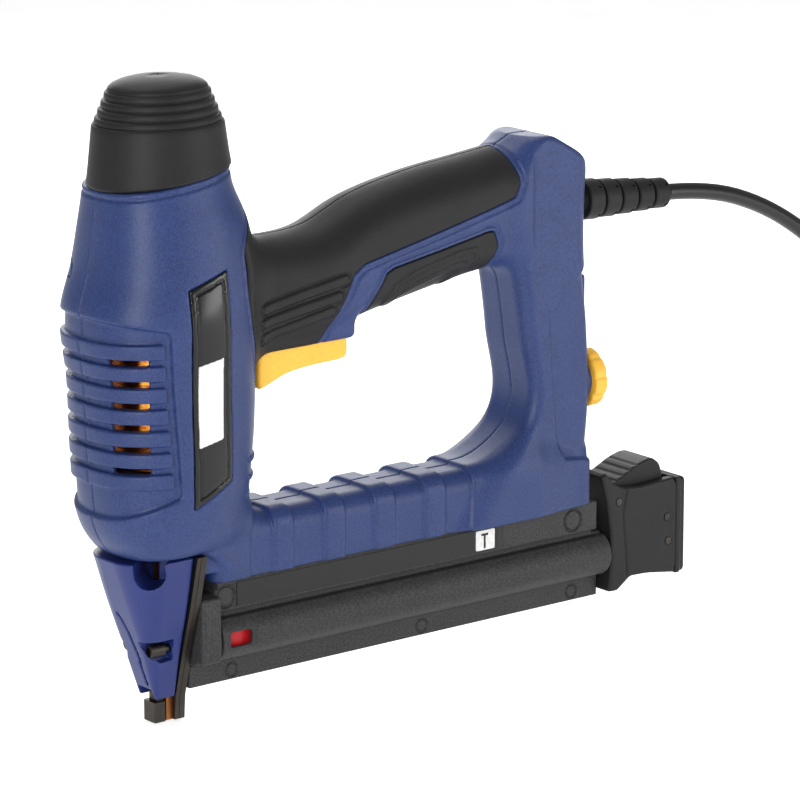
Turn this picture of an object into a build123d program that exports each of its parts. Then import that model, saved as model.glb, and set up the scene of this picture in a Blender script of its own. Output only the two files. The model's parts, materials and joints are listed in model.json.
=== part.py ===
"""Corded electric brad nailer with a D-shaped handle and a sliding magazine.

Frame: +X runs from the nose to the cord, +Z is up, and X = 0, Y = 0 is the axis that the driver
blade moves along. Z = 0 is the work surface that the nose stands on. All sizes are millimetres.
"""
from build123d import *
from math import cos, pi, radians, sin, tan
import os

os.makedirs("parts", exist_ok=True)

# ---------------------------------------------------------------- driving dimensions
WALL = 2.5  # thickness of the moulded housing
RUBBER = 1.6  # thickness of the overmoulded grips
FIT = 0.05  # radial clearance of a pin in its hole
GAP = 0.3  # clearance between parts that move past each other
BIG = 400.0

TOWER_BOTTOM = 66.0
CAP_FRONT = 201.5  # height of the cap's lower edge at its front
CAP_REAR = 208.0
CAP_TOP = 240.6
NECK_BOTTOM = 196.0  # the neck that the rubber cap grips
NECK_TOP = 215.0
BASE_BOTTOM = 52.0
BASE_TOP = 76.0
BASE_FRONT = 12.0
BASE_HALF = 15.5
POST_HALF = 14.5
REAR_X = 197.0

STROKE = 36.0  # travel of the plunger and blade
BLADE_TIP = 37.0  # height of the blade's end at rest
BLADE_HALF = (0.5, 2.0)
PLUNGER_R = 8.9
PLUNGER_LOW = 118.0
PLUNGER_HEAD = (203.0, 206.5, 15.0)  # bottom, top, radius
COIL_R = (10.5, 19.6)
COIL_Z = (98.0, 150.0)
FRAME_BOTTOM = 92.0  # the solenoid's steel frame
FRAME_TOP = 156.0
FRAME_PLATE = 4.0
FRAME_R = 22.4
SPRING_Z = (157.0, 202.2)

WINDOW_ROWS = 6
WINDOW_LOW = 101.3
WINDOW_PITCH = 8.05
WINDOW_HEIGHT = 2.8
WINDOW_WIDTH = 14.0
WINDOW_TURN = 33.0  # degrees from the front round each side

SCREWS = ((29, 187), (28, 82.4), (52, 63), (130, 63), (188, 66), (178, 187), (104, 181))
SCREW_R = 1.5
SCREW_HEAD_R = 3.0
SCREW_HEAD_Y = 8.5  # a screw head's seat
BOSS_R = 4.2

TRIGGER_PIVOT = (74.0, 140.2)  # X and Z of the trigger's pin
TRIGGER_HALF = 7.0
PIN_R = 1.5
DIAL_Z = 99.0
DIAL_R = 12.0
DIAL_FACE = (195.4, 204.2)
SHAFT_R = 3.0
SWITCH_Z = 129.4
SWITCH_SLOT = (2.6, 8.0)  # half width and half height
GLAND = (186.0, 170.6)  # X and Z where the strain relief starts
GLAND_TIP = (243.4, 167.2)
GLAND_R = 8.2
GLAND_RINGS = 5
GLAND_FIRST = 13.0  # where the first ring starts, along the strain relief
GLAND_PITCH = 8.4
BEZEL_X = 197.2

MAG_FRONT = 4.6
MAG_REAR = 203.0
MAG_HALF = 12.5  # half the width of the magazine's upper strip
BULGE_R = 9.0  # round bulges along both sides of the magazine
BULGE_WALL = 2.0
BULGE_Y = 7.5
BULGE_Z = 29.5
RAIL_Z = (12.0, 20.2)
RAIL_HALF = 7.0
ROD_R = 1.5
LABEL_X = (23.0, 148.0)
LABEL_Z = (41.4, 50.4)
FOLLOWER_X = (16.5, 30.5)
BLOCK_X = (203.4, 239.4)
BLOCK_END = 248.0
BLOCK_HALF = 13.0
LATCH_HALF = 9.0
BLOCK_PINS = ((209.6, 49.4), (235.0, 39.1), (235.6, 29.2))

CORD_R = 3.3
HANK_X = 444.0  # middle of the folded cord
HANK_STRAIGHT = 70.0  # between the middles of its round ends
HANK_WIDTH = 50.0
HANK_EYE = 9.2  # width of the gap along its middle
HANK_HEIGHT = 20.4
STRAND_Y = -21.7  # the outermost strand's middle
# The cord's route from the strain relief down to the top of the hank.
CORD_ROUTE = (
    (243.4, 0, 167.2),
    (266, 0, 165.8),
    (296, 0, 155.5),
    (322, 0, 139.5),
    (345, -1, 119),
    (364, -4, 97),
    (380, -8.5, 73),
    (393, -14, 50),
    (406, -19, 31),
    (425, STRAND_Y, 19),
    (437, STRAND_Y, 17),
)
PLUG_X = 519.0  # where the plug's neck starts
PLUG_Y = -12.0
PLUG_LENGTH = 34.0
PLUG_NECK = 9.6
PLUG_WAIST = (24.0, 20.4)
PLUG_FACE = (35.5, 26.0)
PLUG_PIN = (2.4, 19.0, 9.5)  # radius, length, half spacing

# Tower sections: height, middle, half length along X, half width along Y.
TOWER = (
    (TOWER_BOTTOM, -4.0, 20.0, 20.5),
    (73.0, -2.0, 27.0, 24.5),
    (84.0, -0.8, 32.2, 27.2),
    (100.0, 0.0, 34.0, 28.5),
    (130.0, 0.3, 35.4, 29.0),
    (157.0, 0.0, 36.6, 30.0),
    (172.0, 1.6, 34.2, 28.4),
    (186.0, 1.6, 31.8, 26.2),
    (201.0, -0.6, 27.6, 23.2),
    (212.0, -1.0, 26.6, 22.4),
)
# Handle sections: X, top, bottom, half width.
HANDLE = (
    (12.0, 181.0, 128.0, 15.5),
    (42.0, 176.6, 133.5, 16.5),
    (63.0, 178.0, 134.5, 17.0),
    (84.0, 186.2, 140.0, 17.0),
    (110.0, 191.8, 145.0, 17.0),
    (140.0, 195.2, 149.5, 16.6),
    (160.0, 197.4, 151.0, 16.0),
)
# Post sections: height, front, rear, corner radius.
POST = (
    (BASE_BOTTOM, 132.0, REAR_X, 7.0),
    (72.0, 146.0, REAR_X, 7.5),
    (90.0, 162.0, 194.2, 8.0),
    (123.0, 159.5, 192.0, 8.0),
    (152.0, 152.5, 190.0, 8.0),
    (172.0, 150.0, 192.5, 8.0),
    (188.0, 154.0, 193.0, 8.0),
    (199.6, 163.0, 184.0, 7.5),
)
# Cap sections above its lower edge: height, half length, half width.
CAP_SKIRT = ((199.0, 27.6, 23.2), (224.0, 25.0, 21.2))
CAP_STEPS = ((224.0, 24.2, 20.4), (227.0, 22.9, 19.2), (230.0, 21.6, 18.1), (233.0, 20.4, 17.1))
CAP_STEP = 3.0
CAP_MIDDLE = -0.8
CAP_DOME = ((236.0, 19.2, 16.0), (238.8, 15.5, 12.9), (240.2, 8.0, 6.6), (CAP_TOP, 3.0, 2.5))
# Nose cover sections: height, length forward of its flat back, half width, corner radius.
NOSE = ((65.0, 27.5, 20.0, 17.0), (46.0, 21.0, 15.0, 10.0), (28.0, 14.6, 9.6, 4.5), (9.4, 9.0, 5.5, 1.4))
NOSE_BACK = -0.3
NOSE_WALL = 1.5
NOSE_SCREW_Y = 6.8
NOSE_SCREW_Z = 29.2
NOSE_SCREWS = ((-NOSE_SCREW_Y, NOSE_SCREW_Z), (NOSE_SCREW_Y, NOSE_SCREW_Z))
# Half widths of the nose plates at the work surface, the cover's waist and the top.
PLATE_EDGE = ((0.2, 4.8), (9.4, 5.5), (28.0, 10.4), (46.0, 15.6), (65.4, 20.4))
NOSE_PLATES = ((-0.1, 1.7), (1.9, 4.3))

# Outlines in X and Z.
GRIP_EDGE = (
    (24, 182),
    (28, 150),
    (30.5, 134.4),
    (63, 137),
    (83, 162.5),
    (115, 168.5),
    (154, 176.8),
    (158, 186),
    (150, 202),
    (90, 202),
    (40, 186),
)
PAD_EDGE = ((86, 138), (84, 147), (92, 158.5), (141, 167.2), (147, 160), (146, 144), (110, 138))
PANEL_EDGE = ((-8.5, 167.3), (9.1, 172.7), (11.5, 94.2), (-6.2, 85.7))
TRIGGER_SLOT = ((35.9, 118), (35.9, 146.6), (81.5, 146.6), (81.5, 118))
TRIGGER_EDGE = (
    (38.2, 120.4),
    (43.0, 121.8),
    (51.7, 125.3),
    (64, 127.0),
    (78.8, 127.4),
    (79.8, 134.0),
    (77.5, 143.2),
    (70.5, 143.2),
    (68.0, 137.4),
    (38.2, 137.4),
)
BLOCK_EDGE = (
    (BLOCK_X[0], 13.5),
    (BLOCK_X[0], 52.4),
    (200.2, 52.4),
    (200.2, 60.5),
    (203.5, 62.0),
    (206.5, 61.0),
    (210.0, 57.0),
    (213.5, 54.2),
    (BLOCK_X[1], 54.2),
    (BLOCK_X[1], 15.5),
    (222.0, 17.5),
    (214.0, 17.9),
    (208.0, 12.8),
)
LATCH_EDGE = (
    (206.2, 47.0),
    (206.2, 55.0),
    (204.4, 56.5),
    (204.4, 60.2),
    (208.0, 61.8),
    (229.7, 63.0),
    (234.6, 60.6),
    (236.4, 54.0),
    (236.4, 50.6),
    (214.0, 46.0),
)


# ---------------------------------------------------------------- shapes used many times
def block(x0, x1, y0, y1, z0, z1, corner=0.0):
    """A block between two corners, with its upright edges rounded."""
    with BuildPart() as body:
        with BuildSketch(Plane.XY.offset(z0)):
            with Locations(((x0 + x1) / 2, (y0 + y1) / 2)):
                if corner:
                    RectangleRounded(x1 - x0, y1 - y0, corner)
                else:
                    Rectangle(x1 - x0, y1 - y0)
        extrude(amount=z1 - z0)
    return body.part


def bar(start, end, radius):
    """A round bar from start to end."""
    span = Vector(end) - Vector(start)
    with BuildPart() as body:
        with BuildSketch(Plane(origin=start, z_dir=span)):
            Circle(radius)
        extrude(amount=span.length)
    return body.part


def tube(start, end, radius, bore):
    """A round bar with a bore along it."""
    return cut(bar(start, end, radius), bar(start, end, bore))


def side_plate(points, y0, y1, corner=0.0):
    """A plate with its outline in X and Z, from y0 to y1."""
    with BuildPart() as body:
        with BuildSketch(Plane.XZ.offset(-y1)):
            with BuildLine():
                Polyline(*points, close=True)
            make_face()
            if corner:
                fillet(vertices(), corner)
        extrude(amount=y1 - y0)
    return body.part


def cut(piece, *tools):
    """The piece with every tool cut out of it."""
    with BuildPart() as body:
        add(piece)
        for tool in tools:
            add(tool, mode=Mode.SUBTRACT)
    return body.part


def shared(piece, tool):
    """What the piece and the tool have in common."""
    with BuildPart() as body:
        add(piece)
        add(tool, mode=Mode.INTERSECT)
    return body.part


def joined(*pieces):
    """All the pieces in one."""
    with BuildPart() as body:
        for piece in pieces:
            add(piece)
    return body.part


def mirrored(piece):
    """The same piece on the other side of the tool."""
    with BuildPart() as body:
        add(piece)
        mirror(about=Plane.XZ, mode=Mode.REPLACE)
    return body.part


def coil_spring(base, direction, length, radius, wire, turns):
    """A round-wire spring whose ends lie half a wire inside its length."""
    start = Vector(base) + Vector(direction) * (wire / 2)
    height = length - wire
    with BuildPart() as spring:
        with BuildLine() as path:
            Helix(pitch=height / turns, height=height, radius=radius)
        with BuildSketch(Plane(origin=path.line @ 0, z_dir=path.line % 0)):
            Circle(wire / 2)
        sweep()
    return Plane(origin=start, z_dir=direction).location * spring.part


def ellipse_loft(sections, middle):
    with BuildPart() as body:
        for height, half_x, half_y in sections:
            with BuildSketch(Plane.XY.offset(height)):
                with Locations((middle, 0)):
                    Ellipse(half_x, half_y)
        loft(ruled=True)
    return body.part


def loft_tower(inset):
    with BuildPart() as body:
        for height, middle, half_x, half_y in TOWER:
            with BuildSketch(Plane.XY.offset(height)):
                with Locations((middle, 0)):
                    Ellipse(half_x - inset, half_y - inset)
        loft()
    return body.part


def loft_handle(inset):
    with BuildPart() as body:
        for x, top, bottom, half in HANDLE:
            with BuildSketch(Plane.YZ.offset(x)):
                with Locations((0, (top + bottom) / 2)):
                    height = top - bottom - 2 * inset
                    RectangleRounded(2 * (half - inset), height, half - inset - 0.4)
        loft()
    return body.part


def loft_post(inset):
    with BuildPart() as body:
        for height, front, rear, corner in POST:
            with BuildSketch(Plane.XY.offset(height)):
                with Locations(((front + rear) / 2, 0)):
                    length = rear - front - 2 * inset
                    RectangleRounded(length, 2 * (POST_HALF - inset), corner - inset)
        loft()
    return body.part


def base_bar(inset):
    """The lower bar of the D, square below where it meets the magazine."""
    half = BASE_HALF - inset
    low = BASE_BOTTOM + inset
    with BuildPart() as body:
        with BuildSketch(Plane.YZ.offset(BASE_FRONT + inset)):
            with Locations((0, (low + BASE_TOP - inset) / 2)):
                RectangleRounded(2 * half, BASE_TOP - inset - low, 7.5 - inset)
            with Locations((0, low + 5)):
                Rectangle(2 * half, 10)
        extrude(amount=REAR_X - 14 - BASE_FRONT)
    return body.part


def loft_nose(inset):
    """The nose cover's outside, or its room inside when inset."""
    with BuildPart() as body:
        for height, length, half, corner in NOSE:
            with BuildSketch(Plane.XY.offset(height)):
                RectangleRounded(2 * (length - inset), 2 * (half - inset), corner)
        loft()
    return body.part


# ---------------------------------------------------------------- housing halves and grips
left_side = block(-BIG, BIG, -BIG, 0, -BIG, BIG)
right_side = block(-BIG, BIG, 0, BIG, -BIG, BIG)
slope = (CAP_REAR - CAP_FRONT) / 54.0
above_seam = side_plate(
    ((-60, CAP_FRONT - 32 * slope), (60, CAP_FRONT + 88 * slope), (60, BIG), (-60, BIG)), -60, 60
)
below_seam = side_plate(
    ((-60, CAP_FRONT - 32 * slope), (60, CAP_FRONT + 88 * slope), (60, 0), (-60, 0)), -60, 60
)

shell_outer = joined(
    shared(loft_tower(0), below_seam), loft_handle(0), loft_post(0), base_bar(0)
)
tower_room = shared(loft_tower(WALL), block(-60, 60, -60, 60, TOWER_BOTTOM + WALL, BIG))
post_room = shared(loft_post(WALL), block(-60, 260, -60, 60, BASE_BOTTOM + WALL, BIG))
base_room = shared(base_bar(WALL), block(38, 260, -60, 60, 0, BIG))
shell_inner = joined(tower_room, loft_handle(WALL), post_room, base_room)

handle_skin = cut(loft_handle(0), loft_handle(RUBBER), loft_tower(-GAP), loft_post(-GAP))
trigger_slot = side_plate(TRIGGER_SLOT, -TRIGGER_HALF - 0.5, TRIGGER_HALF + 0.5)
grip_skin = cut(shared(handle_skin, side_plate(GRIP_EDGE, -30, 30, 3.0)), trigger_slot)
pad_skin = shared(handle_skin, side_plate(PAD_EDGE, -30, 30, 3.0))
panel_skin = shared(cut(loft_tower(-0.2), loft_tower(0.9)), side_plate(PANEL_EDGE, -60, -10, 1.5))

windows = []
for row in range(WINDOW_ROWS):
    height = WINDOW_LOW + row * WINDOW_PITCH
    for side in (-1, 1):
        angle = radians(WINDOW_TURN)
        out = (-cos(angle), side * sin(angle), 0)
        with BuildPart() as window:
            with BuildSketch(Plane(origin=(0, 0, height), x_dir=out, z_dir=(0, 0, 1))):
                with Locations((30, 0)):
                    Rectangle(16, WINDOW_WIDTH)
            extrude(amount=WINDOW_HEIGHT / 2, both=True)
        windows.append(window.part)

bosses = joined(*[bar((x, -30, z), (x, 30, z), BOSS_R) for x, z in SCREWS])
screw_holes = []
for x, z in SCREWS:
    screw_holes.append(bar((x, -8, z), (x, 40, z), SCREW_R))
    screw_holes.append(bar((x, SCREW_HEAD_Y, z), (x, 40, z), SCREW_HEAD_R + GAP))

shelves = []
for low in (FRAME_BOTTOM - 3.8, FRAME_TOP + 0.1):
    ring = tube((0, 0, low), (0, 0, low + 3.6), 60, 17.5)
    shelves.append(shared(ring, tower_room))

neck = cut(
    joined(
        shared(loft_tower(3.4), block(-60, 60, -60, 60, NECK_BOTTOM, NECK_TOP)),
        shared(loft_tower(1.5), block(-60, 60, -60, 60, NECK_BOTTOM, CAP_FRONT - 3)),
    ),
    loft_tower(5.4),
)
shell = cut(
    shell_outer,
    cut(shell_inner, bosses, *shelves),
    grip_skin,
    pad_skin,
    panel_skin,
    mirrored(panel_skin),
    trigger_slot,
    *windows,
    *screw_holes,
    bar((0, 0, 60), (0, 0, 75), 3.2),
    bar((160, 0, DIAL_Z), (200, 0, DIAL_Z), SHAFT_R + FIT),
    bar((178, 0, GLAND[1]), (215, 0, GLAND[1]), GLAND_R),
    block(180, 205, -SWITCH_SLOT[0], SWITCH_SLOT[0], SWITCH_Z - SWITCH_SLOT[1], SWITCH_Z + SWITCH_SLOT[1]),
    bar((TRIGGER_PIVOT[0], -9.2, TRIGGER_PIVOT[1]), (TRIGGER_PIVOT[0], 9.2, TRIGGER_PIVOT[1]), PIN_R + FIT),
)
shell = joined(shell, neck)
housing_left = shared(shell, left_side)
housing_left.label = "housing_left"
export_step(housing_left, "parts/housing_left.step")
housing_right = shared(shell, right_side)
housing_right.label = "housing_right"
export_step(housing_right, "parts/housing_right.step")

for name, skin in (("upper_grip", grip_skin), ("lower_grip", pad_skin)):
    for side_name, side in (("left", left_side), ("right", right_side)):
        half_skin = shared(skin, side)
        half_skin.label = f"{name}_{side_name}"
        export_step(half_skin, f"parts/{name}_{side_name}.step")

# ---------------------------------------------------------------- cap, panels and housing screws
cap_steps = []
for z, a, b in CAP_STEPS:
    cap_steps.append(ellipse_loft(((z, a, b), (z + CAP_STEP, a - 0.5, b - 0.5)), CAP_MIDDLE))
cap_solid = joined(ellipse_loft(CAP_SKIRT, CAP_MIDDLE), *cap_steps, ellipse_loft(CAP_DOME, CAP_MIDDLE))
cap_room = joined(
    shared(loft_tower(3.2), block(-60, 60, -60, 60, NECK_BOTTOM, NECK_TOP + GAP)),
    ellipse_loft(((NECK_TOP, 20.5, 17.5), (236.5, 16.5, 16.0)), CAP_MIDDLE),
)
tower_cap = cut(cap_solid, cap_room, below_seam)
tower_cap.label = "tower_cap"
export_step(tower_cap, "parts/tower_cap.step")

panel_left = panel_skin
panel_left.label = "side_panel_left"
export_step(panel_left, "parts/side_panel_left.step")
panel_right = mirrored(panel_skin)
panel_right.label = "side_panel_right"
export_step(panel_right, "parts/side_panel_right.step")

with BuildPart() as housing_screws:
    for x, z in SCREWS:
        with BuildSketch(Plane.XZ.offset(-SCREW_HEAD_Y)):
            with Locations((x, z)):
                Circle(SCREW_R - FIT)
        extrude(amount=SCREW_HEAD_Y + 7.5)
        with BuildSketch(Plane.XZ.offset(-SCREW_HEAD_Y - 2.4)):
            with Locations((x, z)):
                Circle(SCREW_HEAD_R)
                RegularPolygon(1.3, 6, mode=Mode.SUBTRACT)
        extrude(amount=2.4)
housing_screws.part.label = "housing_screws"
export_step(housing_screws.part, "parts/housing_screws.step")

# ---------------------------------------------------------------- solenoid, plunger and blade
with BuildPart() as solenoid_frame:
    for low in (FRAME_BOTTOM, FRAME_TOP - FRAME_PLATE):
        with BuildSketch(Plane.XY.offset(low)):
            Circle(FRAME_R)
            Circle(PLUNGER_R + 2 * GAP, mode=Mode.SUBTRACT)
        extrude(amount=FRAME_PLATE)
    with BuildSketch(Plane.XY.offset(FRAME_BOTTOM)):
        with Locations((0, 21.3), (0, -21.3)):
            Rectangle(12, 2)
    extrude(amount=FRAME_TOP - FRAME_BOTTOM)
solenoid_frame.part.label = "solenoid_frame"
export_step(solenoid_frame.part, "parts/solenoid_frame.step")

with BuildPart() as coil_former:
    with BuildSketch(Plane.XZ):
        with BuildLine():
            Polyline(
                (PLUNGER_R + GAP, FRAME_BOTTOM + FRAME_PLATE),
                (20.0, FRAME_BOTTOM + FRAME_PLATE),
                (20.0, COIL_Z[0]),
                (COIL_R[0], COIL_Z[0]),
                (COIL_R[0], COIL_Z[1]),
                (20.0, COIL_Z[1]),
                (20.0, FRAME_TOP - FRAME_PLATE),
                (PLUNGER_R + GAP, FRAME_TOP - FRAME_PLATE),
                close=True,
            )
        make_face()
    revolve(axis=Axis.Z)
coil_former.part.label = "coil_former"
export_step(coil_former.part, "parts/coil_former.step")

with BuildPart() as coil_winding:
    with BuildSketch(Plane.XY.offset(COIL_Z[0])):
        Circle(COIL_R[1])
        Circle(COIL_R[0], mode=Mode.SUBTRACT)
    extrude(amount=COIL_Z[1] - COIL_Z[0])
coil_winding.part.label = "coil_winding"
export_step(coil_winding.part, "parts/coil_winding.step")

PIN_Z = PLUNGER_LOW + 6
with BuildPart() as plunger:
    with BuildSketch(Plane.XY.offset(PLUNGER_LOW)):
        Circle(PLUNGER_R)
    extrude(amount=PLUNGER_HEAD[1] - PLUNGER_LOW)
    with BuildSketch(Plane.XY.offset(PLUNGER_HEAD[0])):
        Circle(PLUNGER_HEAD[2])
    extrude(amount=PLUNGER_HEAD[1] - PLUNGER_HEAD[0])
    add(block(-0.55, 0.55, -2.05, 2.05, PLUNGER_LOW, PLUNGER_LOW + 11.2), mode=Mode.SUBTRACT)
    add(bar((-10, 0, PIN_Z), (10, 0, PIN_Z), 1.25), mode=Mode.SUBTRACT)
plunger.part.label = "plunger"
export_step(plunger.part, "parts/plunger.step")

thick, wide = BLADE_HALF
blade_blank = block(-thick, thick, -wide, wide, BLADE_TIP, PLUNGER_LOW + 11)
driver_blade = cut(blade_blank, bar((-3, 0, PIN_Z), (3, 0, PIN_Z), 1.25))
driver_blade.label = "driver_blade"
export_step(driver_blade, "parts/driver_blade.step")

blade_pin = bar((-8.4, 0, PIN_Z), (8.4, 0, PIN_Z), 1.2)
blade_pin.label = "blade_pin"
export_step(blade_pin, "parts/blade_pin.step")

return_spring = coil_spring((0, 0, SPRING_Z[0]), (0, 0, 1), SPRING_Z[1] - SPRING_Z[0], 11.6, 1.5, 6)
return_spring.label = "return_spring"
export_step(return_spring, "parts/return_spring.step")

bumper = tube((0, 0, TOWER_BOTTOM + WALL), (0, 0, PLUNGER_LOW - STROKE - 1.2), 10.0, 3.6)
bumper.label = "bumper"
export_step(bumper, "parts/bumper.step")

# ---------------------------------------------------------------- nose
nose_front = block(-60, NOSE_BACK, -60, 60, 0, 100)
screw_pocket = side_plate(((-16, 25.2), (-16, 33.4), (-4.4, 33.4), (-3.2, 25.2)), -60, -5.4)
nose_shell = cut(
    shared(loft_nose(0), nose_front),
    loft_nose(NOSE_WALL),
    screw_pocket,
    mirrored(screw_pocket),
)
nose_cover = joined(
    nose_shell,
    *[tube((-7, y, z), (NOSE_BACK, y, z), 2.6, SCREW_R) for y, z in NOSE_SCREWS],
)
nose_cover.label = "nose_cover"
export_step(nose_cover, "parts/nose_cover.step")

with BuildPart() as nose_screws:
    for side in (-1, 1):
        y = side * NOSE_SCREW_Y
        with BuildSketch(Plane.YZ.offset(-13.0)):
            with Locations((y, NOSE_SCREW_Z)):
                Circle(2.6)
                RegularPolygon(1.4, 6, mode=Mode.SUBTRACT)
        extrude(amount=2.0)
        with BuildSketch(Plane.YZ.offset(-11.0)):
            with Locations((y, NOSE_SCREW_Z)):
                Circle(2.6)
        extrude(amount=4.0)
        with BuildSketch(Plane.YZ.offset(-7.0)):
            with Locations((y, NOSE_SCREW_Z)):
                Circle(1.45)
        extrude(amount=17.0)
nose_screws.part.label = "nose_screws"
export_step(nose_screws.part, "parts/nose_screws.step")

plate_outline = [(half, z) for z, half in PLATE_EDGE] + [(-half, z) for z, half in reversed(PLATE_EDGE)]
nail_slot = block(-1, 6, -0.8, 0.8, RAIL_Z[0] + 1.3, 44.0)
for name, (x0, x1) in zip(("nose_plate_front", "nose_plate_rear"), NOSE_PLATES):
    with BuildPart() as plate:
        with BuildSketch(Plane.YZ.offset(x0)):
            with BuildLine():
                Polyline(*plate_outline, close=True)
            make_face()
        extrude(amount=x1 - x0)
        add(nail_slot, mode=Mode.SUBTRACT)
        for y in (-NOSE_SCREW_Y, NOSE_SCREW_Y):
            add(bar((-2, y, NOSE_SCREW_Z), (6, y, NOSE_SCREW_Z), SCREW_R), mode=Mode.SUBTRACT)
        if x0 < BLADE_HALF[0]:
            add(block(-1, 0.65, -2.15, 2.15, -1, 80), mode=Mode.SUBTRACT)
    plate.part.label = name
    export_step(plate.part, f"parts/{name}.step")

nail_guide = cut(
    block(-2.9, -0.12, -3.4, 3.4, 0.2, 62.0),
    block(-0.65, 0.0, -2.15, 2.15, -1, 80),
)
nail_guide.label = "nail_guide"
export_step(nail_guide, "parts/nail_guide.step")

nose_foot = block(-8.2, -3.2, -3.7, 3.7, 0.0, 7.7, 0.6)
nose_foot.label = "nose_foot"
export_step(nose_foot, "parts/nose_foot.step")
foot_stem = block(-6.4, -3.2, -2.4, 2.4, 7.7, 40.0)
foot_stem.label = "foot_stem"
export_step(foot_stem, "parts/foot_stem.step")

# ---------------------------------------------------------------- magazine
def magazine_section(inset):
    """The bulges' outline in Y and Z, in a sketch plane that the caller sets."""
    with BuildSketch(Plane.YZ) as section:
        with Locations((BULGE_Y, BULGE_Z), (-BULGE_Y, BULGE_Z)):
            Circle(BULGE_R - inset)
        with Locations((0, BULGE_Z)):
            Rectangle(2 * BULGE_Y, 2 * (BULGE_R - inset))
    return section.sketch_local


with BuildPart() as magazine_body:
    with BuildSketch(Plane.YZ.offset(MAG_FRONT)):
        add(magazine_section(0))
        with Locations((0, (BULGE_Z + BASE_BOTTOM) / 2)):
            Rectangle(2 * MAG_HALF, BASE_BOTTOM - BULGE_Z)
    extrude(amount=MAG_REAR - MAG_FRONT)
    add(block(MAG_FRONT, 15.0, -14.0, 14.0, BULGE_Z - BULGE_R, 47.4))
    add(block(0, 14.2, -30, 30, 47.4, 60), mode=Mode.SUBTRACT)
    with BuildSketch(Plane.YZ.offset(10.0)):
        add(magazine_section(BULGE_WALL))
    extrude(amount=MAG_REAR, mode=Mode.SUBTRACT)
    add(block(0, BIG, -1.6, 1.6, 10, 30), mode=Mode.SUBTRACT)
    add(block(0, BIG, -1.1, 1.1, 30, 44.2), mode=Mode.SUBTRACT)
    add(block(17.6, 27.6, -30, 30, 27.0, 32.6), mode=Mode.SUBTRACT)
    for side in (-1, 1):
        y = side * NOSE_SCREW_Y
        add(bar((0, y, NOSE_SCREW_Z), (10.5, y, NOSE_SCREW_Z), SCREW_R), mode=Mode.SUBTRACT)
magazine_body.part.label = "magazine_body"
export_step(magazine_body.part, "parts/magazine_body.step")

label_left = block(LABEL_X[0], LABEL_X[1], -MAG_HALF - 0.4, -MAG_HALF, LABEL_Z[0], LABEL_Z[1])
label_left.label = "magazine_panel_left"
export_step(label_left, "parts/magazine_panel_left.step")
label_right = mirrored(label_left)
label_right.label = "magazine_panel_right"
export_step(label_right, "parts/magazine_panel_right.step")

magazine_rail = cut(
    block(MAG_FRONT + 0.6, BLOCK_X[0], -RAIL_HALF, RAIL_HALF, RAIL_Z[0], RAIL_Z[1]),
    block(0, BIG, -1.0, 1.0, RAIL_Z[0] + 1.4, 30),
)
magazine_rail.label = "magazine_rail"
export_step(magazine_rail, "parts/magazine_rail.step")

rod_y = BULGE_Y
follower = cut(
    joined(
        block(FOLLOWER_X[0], FOLLOWER_X[1], -13.0, 13.0, 26.0, 33.0, 2.0),
        block(FOLLOWER_X[0], FOLLOWER_X[1], -0.6, 0.6, RAIL_Z[0] + 1.8, 43.7),
    ),
    bar((0, rod_y, BULGE_Z), (60, rod_y, BULGE_Z), ROD_R + 0.1),
)
follower.label = "follower"
export_step(follower, "parts/follower.step")
follower_rod = bar((12.5, rod_y, BULGE_Z), (BLOCK_X[0] + 8, rod_y, BULGE_Z), ROD_R)
follower_rod.label = "follower_rod"
export_step(follower_rod, "parts/follower_rod.step")
spring_start = FOLLOWER_X[1] + GAP
spring_length = BLOCK_X[0] - GAP - spring_start
follower_spring = coil_spring((spring_start, rod_y, BULGE_Z), (1, 0, 0), spring_length, 3.0, 0.8, 24)
follower_spring.label = "follower_spring"
export_step(follower_spring, "parts/follower_spring.step")

pins = [bar((x, -30, z), (x, 30, z), PIN_R) for x, z in BLOCK_PINS]
magazine_end_block = cut(
    side_plate(BLOCK_EDGE, -BLOCK_HALF, BLOCK_HALF),
    block(205.8, BIG, -LATCH_HALF - GAP, LATCH_HALF + GAP, 43.5, 80),
    block(204.0, BIG, -LATCH_HALF - GAP, LATCH_HALF + GAP, 54.7, 80),
    bar((BLOCK_X[0] - 1, rod_y, BULGE_Z), (BLOCK_X[0] + 8, rod_y, BULGE_Z), ROD_R),
    *pins,
)
magazine_end_block.label = "magazine_end_block"
export_step(magazine_end_block, "parts/magazine_end_block.step")

with BuildPart() as magazine_end_cap:
    with BuildSketch(Plane.YZ.offset(BLOCK_X[1])):
        with Locations((0, 34.5)):
            RectangleRounded(2 * BLOCK_HALF, 39.0, 3.0)
    extrude(amount=BLOCK_END - BLOCK_X[1])
    rear = magazine_end_cap.faces().sort_by(Axis.X)[-1]
    fillet(rear.edges(), 3.0)
magazine_end_cap.part.label = "magazine_end_cap"
export_step(magazine_end_cap.part, "parts/magazine_end_cap.step")

block_pins = joined(*[bar((x, -BLOCK_HALF, z), (x, BLOCK_HALF, z), PIN_R - FIT) for x, z in BLOCK_PINS])
block_pins.label = "block_pins"
export_step(block_pins, "parts/block_pins.step")

latch_pivot = BLOCK_PINS[0]
magazine_latch = cut(
    side_plate(LATCH_EDGE, -LATCH_HALF, LATCH_HALF, 0.8),
    bar((latch_pivot[0], -30, latch_pivot[1]), (latch_pivot[0], 30, latch_pivot[1]), PIN_R),
)
magazine_latch.label = "magazine_latch"
export_step(magazine_latch, "parts/magazine_latch.step")
latch_spring = coil_spring((230, 0, 43.5), (0, 0, 1), 4.9, 3.0, 0.7, 3)
latch_spring.label = "latch_spring"
export_step(latch_spring, "parts/latch_spring.step")

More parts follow.
